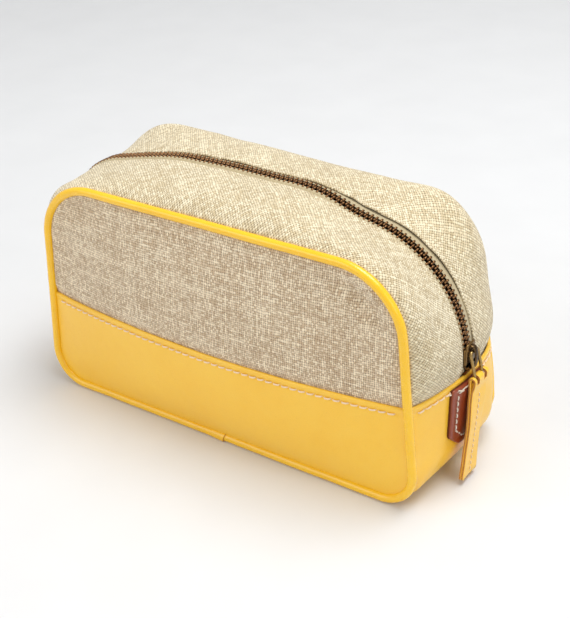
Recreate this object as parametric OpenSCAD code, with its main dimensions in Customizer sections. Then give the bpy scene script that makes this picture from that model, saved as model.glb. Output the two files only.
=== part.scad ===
// Zipped shaving kit bag: bulging box bag with piped panels, leather base, long metal zip over the top and a leather pull.
// Frame: +X along the length, -Y the front face, +Z up, resting on z = 0.

/* [Body] */
// Width between the piping centres at the bottom
width_bottom = 239; // [220:1:260]
// Width between the piping centres at the top
width_top = 220; // [200:1:238]
// Height between the bottom and top piping centres
height = 125.4; // [115:0.2:135]
// Depth between the front and back piping centres
depth = 86.4; // [80:0.2:96]
// Radius of the bottom corners at the piping
corner_bottom = 18.5; // [14:0.5:24]
// Radius of the top corners at the piping
corner_top = 35; // [28:0.5:40]
// How far the front and back panels swell out
panel_bulge = 10.3; // [4:0.1:14]
// How far the ends swell out at the top edge of the leather
end_bulge = 8.8; // [5:0.1:10]
// Height of the leather's top edge above the bottom piping centre
leather_height = 56.6; // [50:0.2:62]

/* [Materials] */
// Leather thickness
leather = 1.3; // [1:0.05:1.6]
// Linen thickness with its backing
linen = 1.1; // [0.8:0.05:1.3]
// Lining cloth thickness
lining = 0.6; // [0.4:0.05:0.8]
// Piping radius
piping_r = 2.4; // [2:0.05:2.6]
// Radius of the cord inside the piping
core_r = 1.5; // [1.2:0.05:1.6]
// Thread radius
thread_r = 0.32; // [0.2:0.02:0.4]
// Stitch pitch
stitch_pitch = 4.8; // [3.5:0.1:6]

/* [Zip] */
// Radius of the zip path over each top corner
zip_corner = 64; // [62:0.5:66]
// Tooth pitch on one side
tooth_pitch = 2.8; // [2.6:0.05:3]
// Tooth length across the chain, outer end to tip
tooth_w = 4.4; // [4.2:0.1:4.5]
// Tooth thickness through the chain
tooth_t = 2.4; // [2.1:0.1:2.4]
// Width of one zip tape
tape_w = 14; // [10:0.5:16]
// Zip tape thickness
tape_t = 0.7; // [0.5:0.05:0.8]
// Slider length
slider_l = 15; // [12:0.5:15]
// Slider width
slider_w = 9.8; // [9.6:0.1:10]

/* [Pull] */
// Length of the leather pull below the ring bar
pull_len = 54; // [35:1:55]
// Width of the leather pull
pull_w = 14.4; // [12:0.2:16]
// Ring wire radius
wire_r = 0.8; // [0.6:0.05:0.9]
// Half width of the end tabs
tab_half = 14.8; // [12:0.2:16]
// End tab thickness
tab_t = 2.2; // [1.6:0.1:2.4]

/* [Hidden] */
zf = piping_r;
wb = width_bottom/2;
wt = width_top/2;
dl = atan((wb-wt)/height);
xb = wb - corner_bottom*(1+sin(dl))/cos(dl);
zb = corner_bottom;
zt = height - corner_top;
xt = wb - (corner_top + sin(dl)*zt)/cos(dl);
yp = depth/2;
hl = leather_height;
// seam path lengths: flat top, top corner, side, bottom corner
s1 = xt;
s2 = s1 + corner_top*(90-dl)*PI/180;
sidez0 = zt + corner_top*sin(dl);
sidez1 = zb + corner_bottom*sin(dl);
s3 = s2 + (sidez0-sidez1)/cos(dl);
s4 = s3 + corner_bottom*(90+dl)*PI/180;
s5 = s4 + xb;
shl = s2 + (sidez0-hl)/cos(dl);
// zip path lengths: top arc, corner arc, straight
zxc = wb - 59.5;
zzc = 65;
ztop = height + 9.9;
ztr = (zxc + zip_corner*cos(78))/sin(12);
ztc = zzc + zip_corner*sin(78) - ztr*cos(12);
q1 = ztr*12*PI/180;
q2 = q1 + zip_corner*78*PI/180;
qhl = q2 + zzc - hl;
// seam path point, d outside it, for arc length s from the top centre to the right: [x, z, nx, nz]
function seam(s, d=0) = s < 0 ? mir(seam(-s, d)) :
  s > s5 ? mir(seam(2*s5-s, d)) :
  s <= s1 ? [s, height+d, 0, 1] :
  s <= s2 ? let(a = 90-(s-s1)/corner_top*180/PI) [xt+(corner_top+d)*cos(a), zt+(corner_top+d)*sin(a), cos(a), sin(a)] :
  s <= s3 ? let(t = s-s2) [xt+(corner_top+d)*cos(dl)+t*sin(dl), sidez0-t*cos(dl)+d*sin(dl), cos(dl), sin(dl)] :
  s <= s4 ? let(a = dl-(s-s3)/corner_bottom*180/PI) [xb+(corner_bottom+d)*cos(a), zb+(corner_bottom+d)*sin(a), cos(a), sin(a)] :
  [xb-(s-s4), -d, 0, -1];
function mir(p) = [-p[0], p[1], -p[2], p[3]];
// outer zip surface point, d outside it
function zipp(q, d=0) = q < 0 ? mir(zipp(-q, d)) :
  q <= q1 ? let(a = q/ztr*180/PI) [(ztr+d)*sin(a), ztc+(ztr+d)*cos(a), sin(a), cos(a)] :
  q <= q2 ? let(b = 78-(q-q1)/zip_corner*180/PI) [zxc+(zip_corner+d)*cos(b), zzc+(zip_corner+d)*sin(b), cos(b), sin(b)] :
  [zxc+zip_corner+d, zzc-(q-q2), 1, 0];
// 0..1 ease
function ease(t) = let(c = min(1, max(0, t))) c*c*(3-2*c);
function prof(y) = 1-(y/yp)*(y/yp);
// half width of the outline, inset i, at height z above the bottom piping centre
function hw(z, i) = let(rb = corner_bottom-i, rt = corner_top-i) z < zb ? let(u = min(1, (zb-z)/rb), lim = rb*cos(dl)) (u >= -sin(dl) ? xb+rb*sqrt(max(0, 1-u*u)) : 0) :
  z > zt && z > zt+rt*sin(dl) ? xt+rt*sqrt(max(0, 1-pow(min(1, (z-zt)/rt), 2))) :
  z < zb+rb*sin(dl) ? xb+rb*sqrt(1-pow((z-zb)/rb, 2)) :
  xb+rb*cos(dl)-(z-zb-rb*sin(dl))*tan(dl);
// outward swelling of a panel
function swell(x, z, i) = let(w = hw(z, i), u = min(1, abs(x)/w), v = min(1, abs(z-height/2)/(height/2-i))) panel_bulge*(1-u*u)*pow(1-pow(v, 2.4), 0.85);
function panely(x, z, i=2.6) = -(yp + swell(x, z, i));
// dip of what tucks under the leather edge
function tuck(z) = (leather+0.4)*(1-ease((z-hl-0.7)/5));

// closed sheet from two point grids of (n+1) by (m+1)
module sheet(n, m, outer, inner) {
  k = (n+1)*(m+1);
  function id(i, j) = i*(m+1)+j;
  polyhedron(points = concat(outer, inner), faces = concat(
    [for (i = [0:n-1], j = [0:m-1]) each [[id(i,j), id(i+1,j), id(i+1,j+1)], [id(i,j), id(i+1,j+1), id(i,j+1)]]],
    [for (i = [0:n-1], j = [0:m-1]) each [[k+id(i,j), k+id(i+1,j+1), k+id(i+1,j)], [k+id(i,j), k+id(i,j+1), k+id(i+1,j+1)]]],
    [for (i = [0:n-1]) each [[id(i,0), k+id(i,0), k+id(i+1,0)], [id(i,0), k+id(i+1,0), id(i+1,0)]]],
    [for (i = [0:n-1]) each [[id(i,m), k+id(i+1,m), k+id(i,m)], [id(i,m), id(i+1,m), k+id(i+1,m)]]],
    [for (j = [0:m-1]) each [[id(0,j), k+id(0,j+1), k+id(0,j)], [id(0,j), id(0,j+1), k+id(0,j+1)]]],
    [for (j = [0:m-1]) each [[id(n,j), k+id(n,j), k+id(n,j+1)], [id(n,j), k+id(n,j+1), id(n,j+1)]]]));
}
// panel sheet between heights z0 and z1, outer face at depth a, t thick
module panel(z0, z1, n, m, a, t, tucked, i=2.6) {
  function pt(u, v, e) = let(z = z0+(z1-z0)*v, x = (2*u-1)*hw(z, i)) [x, panely(x, z, i)+a+e+(tucked ? tuck(z) : 0), z+zf];
  sheet(m, n, [for (j = [0:m], i = [0:n]) pt(i/n, vmap(j/m, z0, z1), 0)], [for (j = [0:m], i = [0:n]) pt(i/n, vmap(j/m, z0, z1), t)]);
}
// rows crowd towards a corner's edge
function vmap(v, z0, z1) = z0 < 10 ? (z1 > 100 ? (1-cos(180*v))/2 : 1-cos(90*v)) : v < 0.15 ? v/0.1*(hl+0.7-z0)/(z1-z0) : v < 0.25 ? (hl+3.5-z0)/(z1-z0) : (hl+3.5-z0)/(z1-z0)+(z1-hl-3.5)/(z1-z0)*sin(90*(v-0.2)/0.8);

module ring_sweep(y, rr, n, steps) {
  st = [for (k = [0:steps-1]) path_s(k, steps)];
  pts = [for (s = st) let(c = seam(s)) for (j = [0:n-1]) let(a = 360*j/n) [c[0]+c[2]*rr*cos(a), y+rr*sin(a), c[1]+c[3]*rr*cos(a)+zf]];
  polyhedron(points = pts, faces = [for (k = [0:steps-1], j = [0:n-1]) let(k2 = (k+1)%steps, j2 = (j+1)%n) each [[k*n+j, k2*n+j2, k2*n+j], [k*n+j, k*n+j2, k2*n+j2]]]);
}
// station k of a closed run round the outline, crowded in the corners
function path_s(k, steps) = let(h = steps/2, m = k < h ? k : k-h, f = m/h, s = run(f)) k < h ? s : 2*s5-run(1-f) == 0 ? s5+s : s5+(s5-run(1-f));
function run(f) = f < 0.12 ? f/0.12*s1 : f < 0.45 ? s1+(f-0.12)/0.33*(s2-s1) : f < 0.55 ? s2+(f-0.45)/0.1*(s3-s2) : f < 0.85 ? s3+(f-0.55)/0.3*(s4-s3) : s4+(f-0.85)/0.15*(s5-s4);

module piping(sgn) {
  difference() {
    ring_sweep(sgn*yp, piping_r, 10, 44);
    ring_sweep(sgn*yp, core_r+0.03, 8, 44);
  }
}
module piping_core(sgn) { ring_sweep(sgn*yp, core_r, 8, 44); }

// upper end and top cloth, from y0 at the piping to y1 at the zip
function gpt(k, y, off) = let(a = seam(k*shl, off), b = zipp(k*qhl, off), f = prof(y), w = 3.4*pow(sin(180*(abs(y)-4)/(yp-4)), 1)*ease((abs(k)-0.3)/0.2)*(1-ease((abs(k)-0.72)/0.25)),
    p = a*(1-f)+b*f) [p[0]+a[2]*w, y, p[1]+a[3]*w+zf];
module gusset(sgn, y0, y1, off, t, n, m) {
  function st(i) = i == 0 ? -1.035 : i == 1 ? -1.004 : i == n-1 ? 1.004 : i == n ? 1.035 : 0.97*(2*(i-2)/(n-4)-1);
  function pt(i, j, e) = let(k = st(i), y = sgn*(y0+(y1-y0)*j/m), dip = abs(k) > 1 ? leather+0.4 : 0) gpt(k, y, off+e-(off < -1 ? 0 : dip));
  o = [for (i = [0:n], j = [0:m]) pt(i, j, 0)];
  q = [for (i = [0:n], j = [0:m]) pt(i, j, -t)];
  if (sgn > 0) sheet(n, m, o, q); else sheet(n, m, q, o);
}
// lower ends and bottom: station f from the right leather edge round to the left one
function bend(s) = let(t = min(1, max(0, (s-shl)/(s4-shl)))) zf+(end_bulge-zf)*pow(1-t, 1.15);
function bpr(y, s) = let(t = ease((s-s3+4)/(s4-s3)), fl = 1-ease((abs(y)-yp+9)/7)) prof(y)*(1-t)+fl*t;
function bstat(f, d0) = let(g = f < 0.5 ? f*2 : (1-f)*2, s = g < 0.35 ? shl+d0+(s3-shl-d0)*g/0.35 : g < 0.85 ? s3+(s4-s3)*(g-0.35)/0.5 : s4+(s5-s4)*(g-0.85)/0.15) s;
function bpt(f, y, off, d0 = 0) = let(s = bstat(f, d0), c = seam(s), b = bend(s)*bpr(y, s)+off, p = [c[0]+c[2]*b, y, c[1]+c[3]*b+zf]) f < 0.5 ? p : [-p[0], p[1], p[2]];
ys = [for (u = [-1, -0.93, -0.86, -0.79, -0.6, -0.3, 0, 0.3, 0.6, 0.79, 0.86, 0.93, 1]) u];
module base_sheet(n, off, t, yy, d0 = 0) {
  m = len(ys)-1;
  sheet(n, m, [for (i = [0:n], j = [0:m]) bpt(i/n, ys[j]*yy, off-t, d0)], [for (i = [0:n], j = [0:m]) bpt(i/n, ys[j]*yy, off, d0)]);
}
// a stitch between two surface points
module stitch(p, q) {
  d = q-p; l = norm(d);
  translate(p) rotate([0, acos(d[2]/l), atan2(d[1], d[0])]) cylinder(h = l, r = thread_r, $fn = 16);
}
module panel_stitches(sgn) {
  z = hl-4; w = hw(z, 2.6)-4; n = floor(2*w/stitch_pitch);
  for (i = [0:n-1]) let(x0 = -w+i*stitch_pitch+0.6, x1 = x0+stitch_pitch*0.72) stitch([x0, sgn*(-panely(x0, z)+thread_r*1.9), z+zf], [x1, sgn*(-panely(x1, z)+thread_r*1.9), z+zf]);
}
function endpt(y, z, off) = let(s = s2+(sidez0-z)/cos(dl), c = seam(s), b = bend(s)*bpr(y, s)+off) [c[0]+c[2]*b, y, c[1]+c[3]*b+zf];
module end_stitches() {
  for (sx = [-1, 1], sy = [-1, 1], i = [0:4]) let(a = tab_half+1.4+i*stitch_pitch, b = a+stitch_pitch*0.72, p = endpt(sy*a, hl-4, thread_r*1.9), q = endpt(sy*b, hl-4, thread_r*1.9)) stitch([sx*p[0], p[1], p[2]], [sx*q[0], q[1], q[2]]);
}
// end tab outline: half width at height z
tz0 = 19; tz1 = hl-2.5;
function tabw(z) = z < tz0+8 ? 4.5+(tab_half-4.5)*(z-tz0)/8 : tab_half;
module end_tab() {
  n = 10; m = 8;
  function pz(i) = i < 4 ? tz0+8*i/3 : tz0+8+(tz1-tz0-8)*(i-3)/(n-3);
  sheet(n, m, [for (i = [0:n], j = [0:m]) endpt((2*j/m-1)*tabw(pz(i)), pz(i), 0.08+tab_t)], [for (i = [0:n], j = [0:m]) endpt((2*j/m-1)*tabw(pz(i)), pz(i), 0.08)]);
}
module tab_stitches(sx) {
  o = 0.08+tab_t+thread_r*1.15; e = 4.6; h0 = tz0+e;
  for (sy = [-1, 1], i = [0:6]) let(z0 = tz1-6-i*3.6, z1 = z0-2.7, p = endpt(sy*(tab_half-e), z0, o), q = endpt(sy*(tab_half-e), z1, o)) stitch([sx*p[0], p[1], p[2]], [sx*q[0], q[1], q[2]]);
  for (sy = [-1, 1], i = [0:1]) let(a = tab_half-e-0.8-i*3.6, b = a-2.6, za = h0+(a-3)*0.77-0.3, zc = h0+(b-3)*0.77-0.3, p = endpt(sy*a, za, o), q = endpt(sy*b, zc, o)) stitch([sx*p[0], p[1], p[2]], [sx*q[0], q[1], q[2]]);
  let(p = endpt(-1.6, h0, o), q = endpt(1.6, h0, o)) stitch([sx*p[0], p[1], p[2]], [sx*q[0], q[1], q[2]]);
  for (sy = [-1, 1], i = [0:1]) let(p = endpt(sy*(tab_half-0.4-i*3.4), hl-4, o), q = endpt(sy*(tab_half-3.2-i*3.4), hl-4, o)) stitch([sx*p[0], p[1], p[2]], [sx*q[0], q[1], q[2]]);
}

// zip: chain centre runs zc inside the outer zip surface
zc = tooth_t/2;
teeth_n = floor((qhl-4)/tooth_pitch);
teeth_r = floor((q2-4)/tooth_pitch);
module teeth(sgn) {
  sh = sgn > 0 ? 0.5 : 0;
  for (i = [-teeth_n:teeth_r-1]) let(q = (i+sh)*tooth_pitch, p = zipp(q, -zc), a = atan2(p[3], p[2]))
    translate([p[0], 0, p[1]+zf]) rotate([0, -a, 0]) translate([-tooth_t/2, sgn > 0 ? -0.8 : 0.8-tooth_w, -0.56]) cube([tooth_t, tooth_w, 1.12]);
}
module tape(sgn) {
  n = 60; y0 = tooth_w-0.8+0.03; y1 = 14; ya = 4.7;
  function pt(i, y, e) = let(q = (2*i/n-1)*(qhl+6), z = zipp(q)[1], p = zipp(q, -zc+e-(y < 4.2 ? 0 : 0.75)-2.6*(1-ease((z-hl-0.7)/3.6)))) [p[0]+p[2]*drop(q, y), sgn*y, p[1]+p[3]*drop(q, y)+zf];
  o = [for (i = [0:n]) each [pt(i, y0, tape_t/2), pt(i, ya, tape_t/2), pt(i, 9, tape_t/2), pt(i, y1, tape_t/2)]];
  q = [for (i = [0:n]) each [pt(i, y0, -tape_t/2), pt(i, ya, -tape_t/2), pt(i, 9, -tape_t/2), pt(i, y1, -tape_t/2)]];
  if (sgn > 0) sheet(n, 3, q, o); else sheet(n, 3, o, q);
}
// the tape follows the cloth down as it nears the piping
function drop(q, y) = let(a = seam(q/qhl*shl), b = zipp(q)) -(1-prof(y))*norm([a[0]-b[0], a[1]-b[1]])*1.15-0.012*max(0, y-3);
module top_stops() {
  for (sy = [-1, 1]) translate([zxc+zip_corner-zc-tooth_t/2, sy > 0 ? 0.5 : -3.4, hl+0.9+zf]) cube([tooth_t, 2.9, 1.6]);
}
module bottom_stop() {
  translate([-(zxc+zip_corner-zc)-tooth_t/2, -3.4, hl+0.9+zf]) cube([tooth_t, 6.8, 1.6]);
}
// slider in its own frame: x out of the bag, z up the zip
sx0 = zxc+zip_corner-zc; sz0 = 67.5+zf;
module plate2d(w, l) { polygon([[-w/2+1.2, l/2], [w/2-1.2, l/2], [w/2-0.5, l/2-2.2], [w/2, -l/6], [w/2, -l/2+2.5], [w/2-2, -l/2], [-w/2+2, -l/2], [-w/2, -l/2+2.5], [-w/2, -l/6], [-w/2+0.5, l/2-2.2]]); }
module slider_body() {
  translate([sx0, 0, sz0]) {
    translate([1.5, 0, 0]) rotate([90, 0, 90]) linear_extrude(1.2) plate2d(slider_w, slider_l);
    translate([-3.6, 0, 0]) rotate([90, 0, 90]) linear_extrude(1.2) plate2d(slider_w, slider_l);
    for (sy = [-1, 1]) {
      translate([0.95, sy > 0 ? slider_w/2-0.86 : -slider_w/2+0.06, -slider_l/2+2.6]) cube([0.8, 0.8, 9]);
      translate([-2.5, sy > 0 ? slider_w/2-0.86 : -slider_w/2+0.06, -slider_l/2+4]) cube([0.7, 0.8, 7.6]);
    }
    // post between the plates
    translate([-2.5, 0, -slider_l/2+0.3]) rotate([90, 0, 90]) linear_extrude(4.4) polygon([[0, 0], [1.1, 1.9], [0, 4.2], [-1.1, 1.9]]);
    // bridge
    rotate([90, 0, 0]) translate([0, 0, -1.5]) linear_extrude(3) polygon([[2.6, -6], [4.6, -5.9], [5.9, -4.6], [6.2, -2], [6.2, 3], [5.7, 5.2], [4.4, 6.2], [2.6, 6.4], [2.6, 5.3], [4.2, 5], [4.9, 3.8], [5, 2.5], [5, -2.2], [4.6, -4], [3.8, -4.7], [2.6, -4.8]]);
  }
}
// ring: upper bar under the bridge, lower bar in the pull's fold
ru = [sx0+3.9, 0.3, sz0+3.2];
rl = [129.1, 1.5, hl+zf-0.6];
rlen = norm([rl[0]-ru[0], 0, rl[2]-ru[2]]);
rdir = [(rl[0]-ru[0])/rlen, 0, (rl[2]-ru[2])/rlen];
rout = [-rdir[2], 0, rdir[0]];
// point k of n on the ring's centre line: [across, down]
function rpt(k, n) = let(q = floor(4*k/n), m = n/4, t = (k-q*m)/(m-1)*90, w = 3.7, r = 1.6,
    cx = (q == 0 || q == 3) ? w-r : -w+r, cy = (q == 0 || q == 1) ? rlen-r : r, b = q*90+t) [cx+r*cos(b), cy+r*sin(b)];
module pull_ring() {
  n = 32; m = 12;
  function pos(k) = let(p = rpt(k, n), f = p[1]/rlen) [ru[0]+rdir[0]*p[1], ru[1]+(rl[1]-ru[1])*f+p[0], ru[2]+rdir[2]*p[1]];
  pts = [for (k = [0:n-1]) let(c = pos(k), d = pos((k+1)%n)-pos((k+n-1)%n), u = d/norm(d), s = cross(u, rout), v = s/norm(s)) for (j = [0:m-1]) let(a = 360*j/m) c+wire_r*(v*cos(a)+rout*sin(a))];
  polyhedron(points = pts, faces = [for (k = [0:n-1], j = [0:m-1]) let(k2 = (k+1)%n, j2 = (j+1)%m) each [[k*m+j, k2*m+j2, k2*m+j], [k*m+j, k*m+j2, k2*m+j2]]]);
}
// pull: strip folded over the lower bar, two layers down to the cut end
pc = 2.0; pb = -1.8; lean = 1.2;
module pull_leather() {
  o = wire_r+0.12; t = leather;
  translate([rl[0], pc-pull_w/2, rl[2]]) rotate([-90, 0, 0]) difference() {
    linear_extrude(pull_w) difference() { circle(r = o+t, $fn = 32); circle(r = o, $fn = 32); translate([-5, 0.9]) square([10, 5]); }
    for (s = [-1, 1]) translate([-5, -5, rl[1]+s*3.7-pc+pull_w/2-1.25]) cube([10, 10, 2.5]);
  }
  for (s = [-1, 1]) legstrip(s);
}
// one layer of the pull, from the fold to the free end
module legstrip(s) {
  o = wire_r+0.12; n = 8; t = leather;
  function cx(v, e) = rl[0]+s*(0.04+(o-0.04)*pow(1-ease(v*5), 1)*1+e)-lean*v;
  function pt(i, j, e) = let(v = i/n, g = pow(v, 1.4), z = rl[2]-0.85-pull_len*g, w = pull_w/2+0.4*g, y = pc+(pb-pc)*g+(2*j-1)*w) [cx(g, e), y, z];
  a = [for (i = [0:n], j = [0:1]) pt(i, j, 0)]; b = [for (i = [0:n], j = [0:1]) pt(i, j, t)];
  if (s > 0) sheet(n, 1, a, b); else sheet(n, 1, b, a);
}
module pull_stitches() {
  x = rl[0]+0.04+leather+thread_r*1.45;
  for (i = [0:8]) let(a = 0.16+i*0.088, b = a+0.06, f = function(v) [x-lean*v, pc+(pb-pc)*v, rl[2]-0.85-pull_len*v]) stitch(f(a), f(b));
}

module front_linen() { color([0.72, 0.66, 0.53]) panel(hl-7, height-2.7, 26, 10, 0.1, linen, true); }
module front_leather() { color([0.95, 0.72, 0.16]) panel(2.7, hl, 26, 9, 0, leather, false); }
module back_linen() { color([0.72, 0.66, 0.53]) mirror([0, 1, 0]) front_linen(); }
module back_leather() { color([0.95, 0.72, 0.16]) mirror([0, 1, 0]) front_leather(); }
module front_piping() { color([0.97, 0.75, 0.12]) piping(-1); }
module back_piping() { color([0.97, 0.75, 0.12]) piping(1); }
module front_piping_cord() { color([0.85, 0.82, 0.75]) piping_core(-1); }
module back_piping_cord() { color([0.85, 0.82, 0.75]) piping_core(1); }
module gusset_front_linen() { color([0.8, 0.75, 0.62]) gusset(-1, yp-2.5, 5.3, 0, linen, 50, 6); }
module gusset_back_linen() { color([0.8, 0.75, 0.62]) gusset(1, yp-2.5, 6.4, 0, linen, 50, 6); }
module base_leather() { color([0.95, 0.72, 0.16]) base_sheet(44, 0, leather, yp-2.5); }
module end_tab_right() { color([0.55, 0.2, 0.08]) end_tab(); }
module end_tab_left() { color([0.55, 0.2, 0.08]) mirror([1, 0, 0]) end_tab(); }
module lining_front() { color([0.82, 0.78, 0.68]) panel(7, height-7, 16, 8, leather+linen+0.6, lining, false, 6.5); }
module lining_back() { color([0.82, 0.78, 0.68]) mirror([0, 1, 0]) lining_front(); }
module lining_base() { color([0.82, 0.78, 0.68]) base_sheet(28, -leather-linen-0.7-tape_t-0.8, lining, yp-7, 7.6); }
module lining_top_front() { color([0.82, 0.78, 0.68]) gusset(-1, yp-7, 15, -linen-tape_t-1.0, lining, 28, 3); }
module lining_top_back() { color([0.82, 0.78, 0.68]) gusset(1, yp-7, 15, -linen-tape_t-1.0, lining, 28, 3); }
module base_board() { color([0.45, 0.4, 0.33]) translate([-97, -33, 1.5]) cube([194, 66, 1.6]); }
module zip_tape_front() { color([0.78, 0.72, 0.55]) tape(-1); }
module zip_tape_back() { color([0.78, 0.72, 0.55]) tape(1); }
module zip_teeth_front() { color([0.35, 0.25, 0.17]) teeth(-1); }
module zip_teeth_back() { color([0.35, 0.25, 0.17]) teeth(1); }
module zip_top_stops() { color([0.35, 0.25, 0.17]) top_stops(); }
module zip_bottom_stop() { color([0.35, 0.25, 0.17]) bottom_stop(); }
module front_stitches() { color([0.93, 0.88, 0.75]) panel_stitches(-1); }
module back_stitches() { color([0.93, 0.88, 0.75]) panel_stitches(1); }
module side_stitches() { color([0.93, 0.88, 0.75]) end_stitches(); }
module tab_right_stitches() { color([0.95, 0.92, 0.86]) tab_stitches(1); }
module tab_left_stitches() { color([0.95, 0.92, 0.86]) tab_stitches(-1); }
module zip_slider() { color([0.3, 0.25, 0.2]) slider_body(); }
module pull_link() { color([0.35, 0.28, 0.18]) pull_ring(); }
module pull_strap() { color([0.96, 0.74, 0.16]) pull_leather(); }
module pull_thread() { color([0.93, 0.88, 0.75]) pull_stitches(); }

front_linen();
front_leather();
back_linen();
back_leather();
front_piping();
back_piping();
front_piping_cord();
back_piping_cord();
gusset_front_linen();
gusset_back_linen();
base_leather();
end_tab_right();
end_tab_left();
lining_front();
lining_back();
lining_base();
lining_top_front();
lining_top_back();
base_board();
zip_tape_front();
zip_tape_back();
zip_teeth_front();
zip_teeth_back();
zip_top_stops();
zip_bottom_stop();
front_stitches();
back_stitches();
side_stitches();
tab_right_stitches();
tab_left_stitches();
zip_slider();
pull_link();
pull_strap();
pull_thread();
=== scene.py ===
import math

import bmesh
import bpy
import numpy as np
from mathutils import Matrix, Vector


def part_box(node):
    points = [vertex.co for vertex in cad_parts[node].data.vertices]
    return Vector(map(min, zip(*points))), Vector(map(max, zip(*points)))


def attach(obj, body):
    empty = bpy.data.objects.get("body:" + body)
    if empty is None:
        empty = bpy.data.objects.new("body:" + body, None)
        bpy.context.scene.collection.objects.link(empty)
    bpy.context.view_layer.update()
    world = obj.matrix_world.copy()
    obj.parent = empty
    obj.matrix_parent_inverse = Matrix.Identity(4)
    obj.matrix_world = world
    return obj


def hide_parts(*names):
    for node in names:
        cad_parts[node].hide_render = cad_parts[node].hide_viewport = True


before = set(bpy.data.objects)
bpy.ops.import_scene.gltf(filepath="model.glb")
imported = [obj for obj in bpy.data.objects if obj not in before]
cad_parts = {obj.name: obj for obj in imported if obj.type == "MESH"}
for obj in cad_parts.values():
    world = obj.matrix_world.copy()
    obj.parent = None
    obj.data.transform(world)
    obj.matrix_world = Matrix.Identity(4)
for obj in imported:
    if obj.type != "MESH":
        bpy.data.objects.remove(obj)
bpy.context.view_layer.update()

MM = 0.001
PI = math.pi
rng = np.random.default_rng(7)


def nbox(name):
    lo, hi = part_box(name)
    return np.array(lo) / MM, np.array(hi) / MM


# ---------------------------------------------------------------- sizes, all in mm, read from the frame
(_pl, _ph) = nbox("front_piping")
(_cl, _ch) = nbox("front_piping_cord")
(_ll, _lh) = nbox("front_leather")
(_bl, _bh) = nbox("back_piping")
PR = 2.4
ZF = PR
WB = (_ph[0] - _pl[0]) / 2 - PR + 1.67
WB = 119.5
WT = 110.0
HT = 125.4
YP = 43.2
HL = _lh[2] - ZF
RB, RT = 18.5, 35.0
DL = math.atan((WB - WT) / HT)
XB = WB - RB * (1 + math.sin(DL)) / math.cos(DL)
ZB = RB
ZT = HT - RT
XT = WB - (RT + math.sin(DL) * ZT) / math.cos(DL)
S1 = XT
S2 = S1 + RT * (PI / 2 - DL)
SZ0 = ZT + RT * math.sin(DL)
SZ1 = ZB + RB * math.sin(DL)
S3 = S2 + (SZ0 - SZ1) / math.cos(DL)
S4 = S3 + RB * (PI / 2 + DL)
S5 = S4 + XB
SHL = S2 + (SZ0 - HL) / math.cos(DL)
ZXC, ZZC, ZRC = WB - 59.5, 65.0, 64.0
A78, A12 = math.radians(78), math.radians(12)
ZTR = (ZXC + ZRC * math.cos(A78)) / math.sin(A12)
ZTC = ZZC + ZRC * math.sin(A78) - ZTR * math.cos(A12)
Q1 = ZTR * A12
Q2 = Q1 + ZRC * A78
QHL = Q2 + ZZC - HL
END_B = 8.8
BULGE = 10.3
CH = 1.2  # chain centre below the zip surface


def ease(t):
    c = np.clip(t, 0, 1)
    return c * c * (3 - 2 * c)


def gauss(x, w):
    return np.exp(-(x / w) ** 2)


def seam(s, d=0.0):
    """Outline at the piping: x, z, nx, nz for arc length s from the top's middle, to the right, all the way round to 2*S5."""
    s = np.asarray(s, float)
    s, d = np.broadcast_arrays(s, np.asarray(d, float))
    per = 2 * S5
    sm = np.mod(s + S5, per) - S5
    a = np.abs(sm)
    sign = np.where(sm < 0, -1.0, 1.0)
    ang = np.where(a <= S1, PI / 2, np.where(a <= S2, PI / 2 - (a - S1) / RT, np.where(a <= S3, DL, np.where(a <= S4, DL - (a - S3) / RB, -PI / 2))))
    nx, nz = np.cos(ang), np.sin(ang)
    t = np.clip(a - S2, 0, S3 - S2)
    x = np.where(a <= S1, a, np.where(a <= S2, XT + (RT + d) * nx, np.where(a <= S3, XT + (RT + d) * math.cos(DL) + t * math.sin(DL), np.where(a <= S4, XB + (RB + d) * nx, XB - (a - S4)))))
    z = np.where(a <= S1, HT + d, np.where(a <= S2, ZT + (RT + d) * nz, np.where(a <= S3, SZ0 - t * math.cos(DL) + d * math.sin(DL), np.where(a <= S4, ZB + (RB + d) * nz, -d))))
    nx = np.where((a <= S1) | (a > S4), 0.0, nx)
    nz = np.where(a <= S1, 1.0, np.where(a > S4, -1.0, nz))
    return x * sign, z, nx * sign, nz


# the left end is squarer than the right one, where the slider runs
RL_, XL_ = 40.0, WB - 55.5 + 20.0
ZL_ = 87.0
BL_ = 2 * math.atan((ZTC + ZTR - RL_ - ZL_) / XL_)
TL_ = XL_ / math.sin(BL_) + RL_
QL1 = TL_ * BL_
QL2 = QL1 + RL_ * (PI / 2 - BL_)
QHLL = QL2 + ZL_ - HL


def table(x, xs, ys):
    """Smooth curve through a few values."""
    xs, ys = np.asarray(xs, float), np.asarray(ys, float)
    m = np.gradient(ys, xs)
    i = np.clip(np.searchsorted(xs, x) - 1, 0, len(xs) - 2)
    h = xs[i + 1] - xs[i]
    t = np.clip((x - xs[i]) / h, 0, 1)
    return (2 * t ** 3 - 3 * t ** 2 + 1) * ys[i] + (t ** 3 - 2 * t ** 2 + t) * h * m[i] + (3 * t ** 2 - 2 * t ** 3) * ys[i + 1] + (t ** 3 - t ** 2) * h * m[i + 1]


def zpath(a, d, r_top, z_top, beta, r, xc, zc, q1, q2):
    t1 = a / r_top
    b = PI / 2 - beta - (a - q1) / r
    x = np.where(a <= q1, (r_top + d) * np.sin(t1), np.where(a <= q2, xc + (r + d) * np.cos(b), xc + r + d))
    z = np.where(a <= q1, z_top - r_top + (r_top + d) * np.cos(t1), np.where(a <= q2, zc + (r + d) * np.sin(b), zc - (a - q2)))
    nx = np.where(a <= q1, np.sin(t1), np.where(a <= q2, np.cos(b), 1.0))
    nz = np.where(a <= q1, np.cos(t1), np.where(a <= q2, np.sin(b), 0.0))
    return x, z, nx, nz


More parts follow.
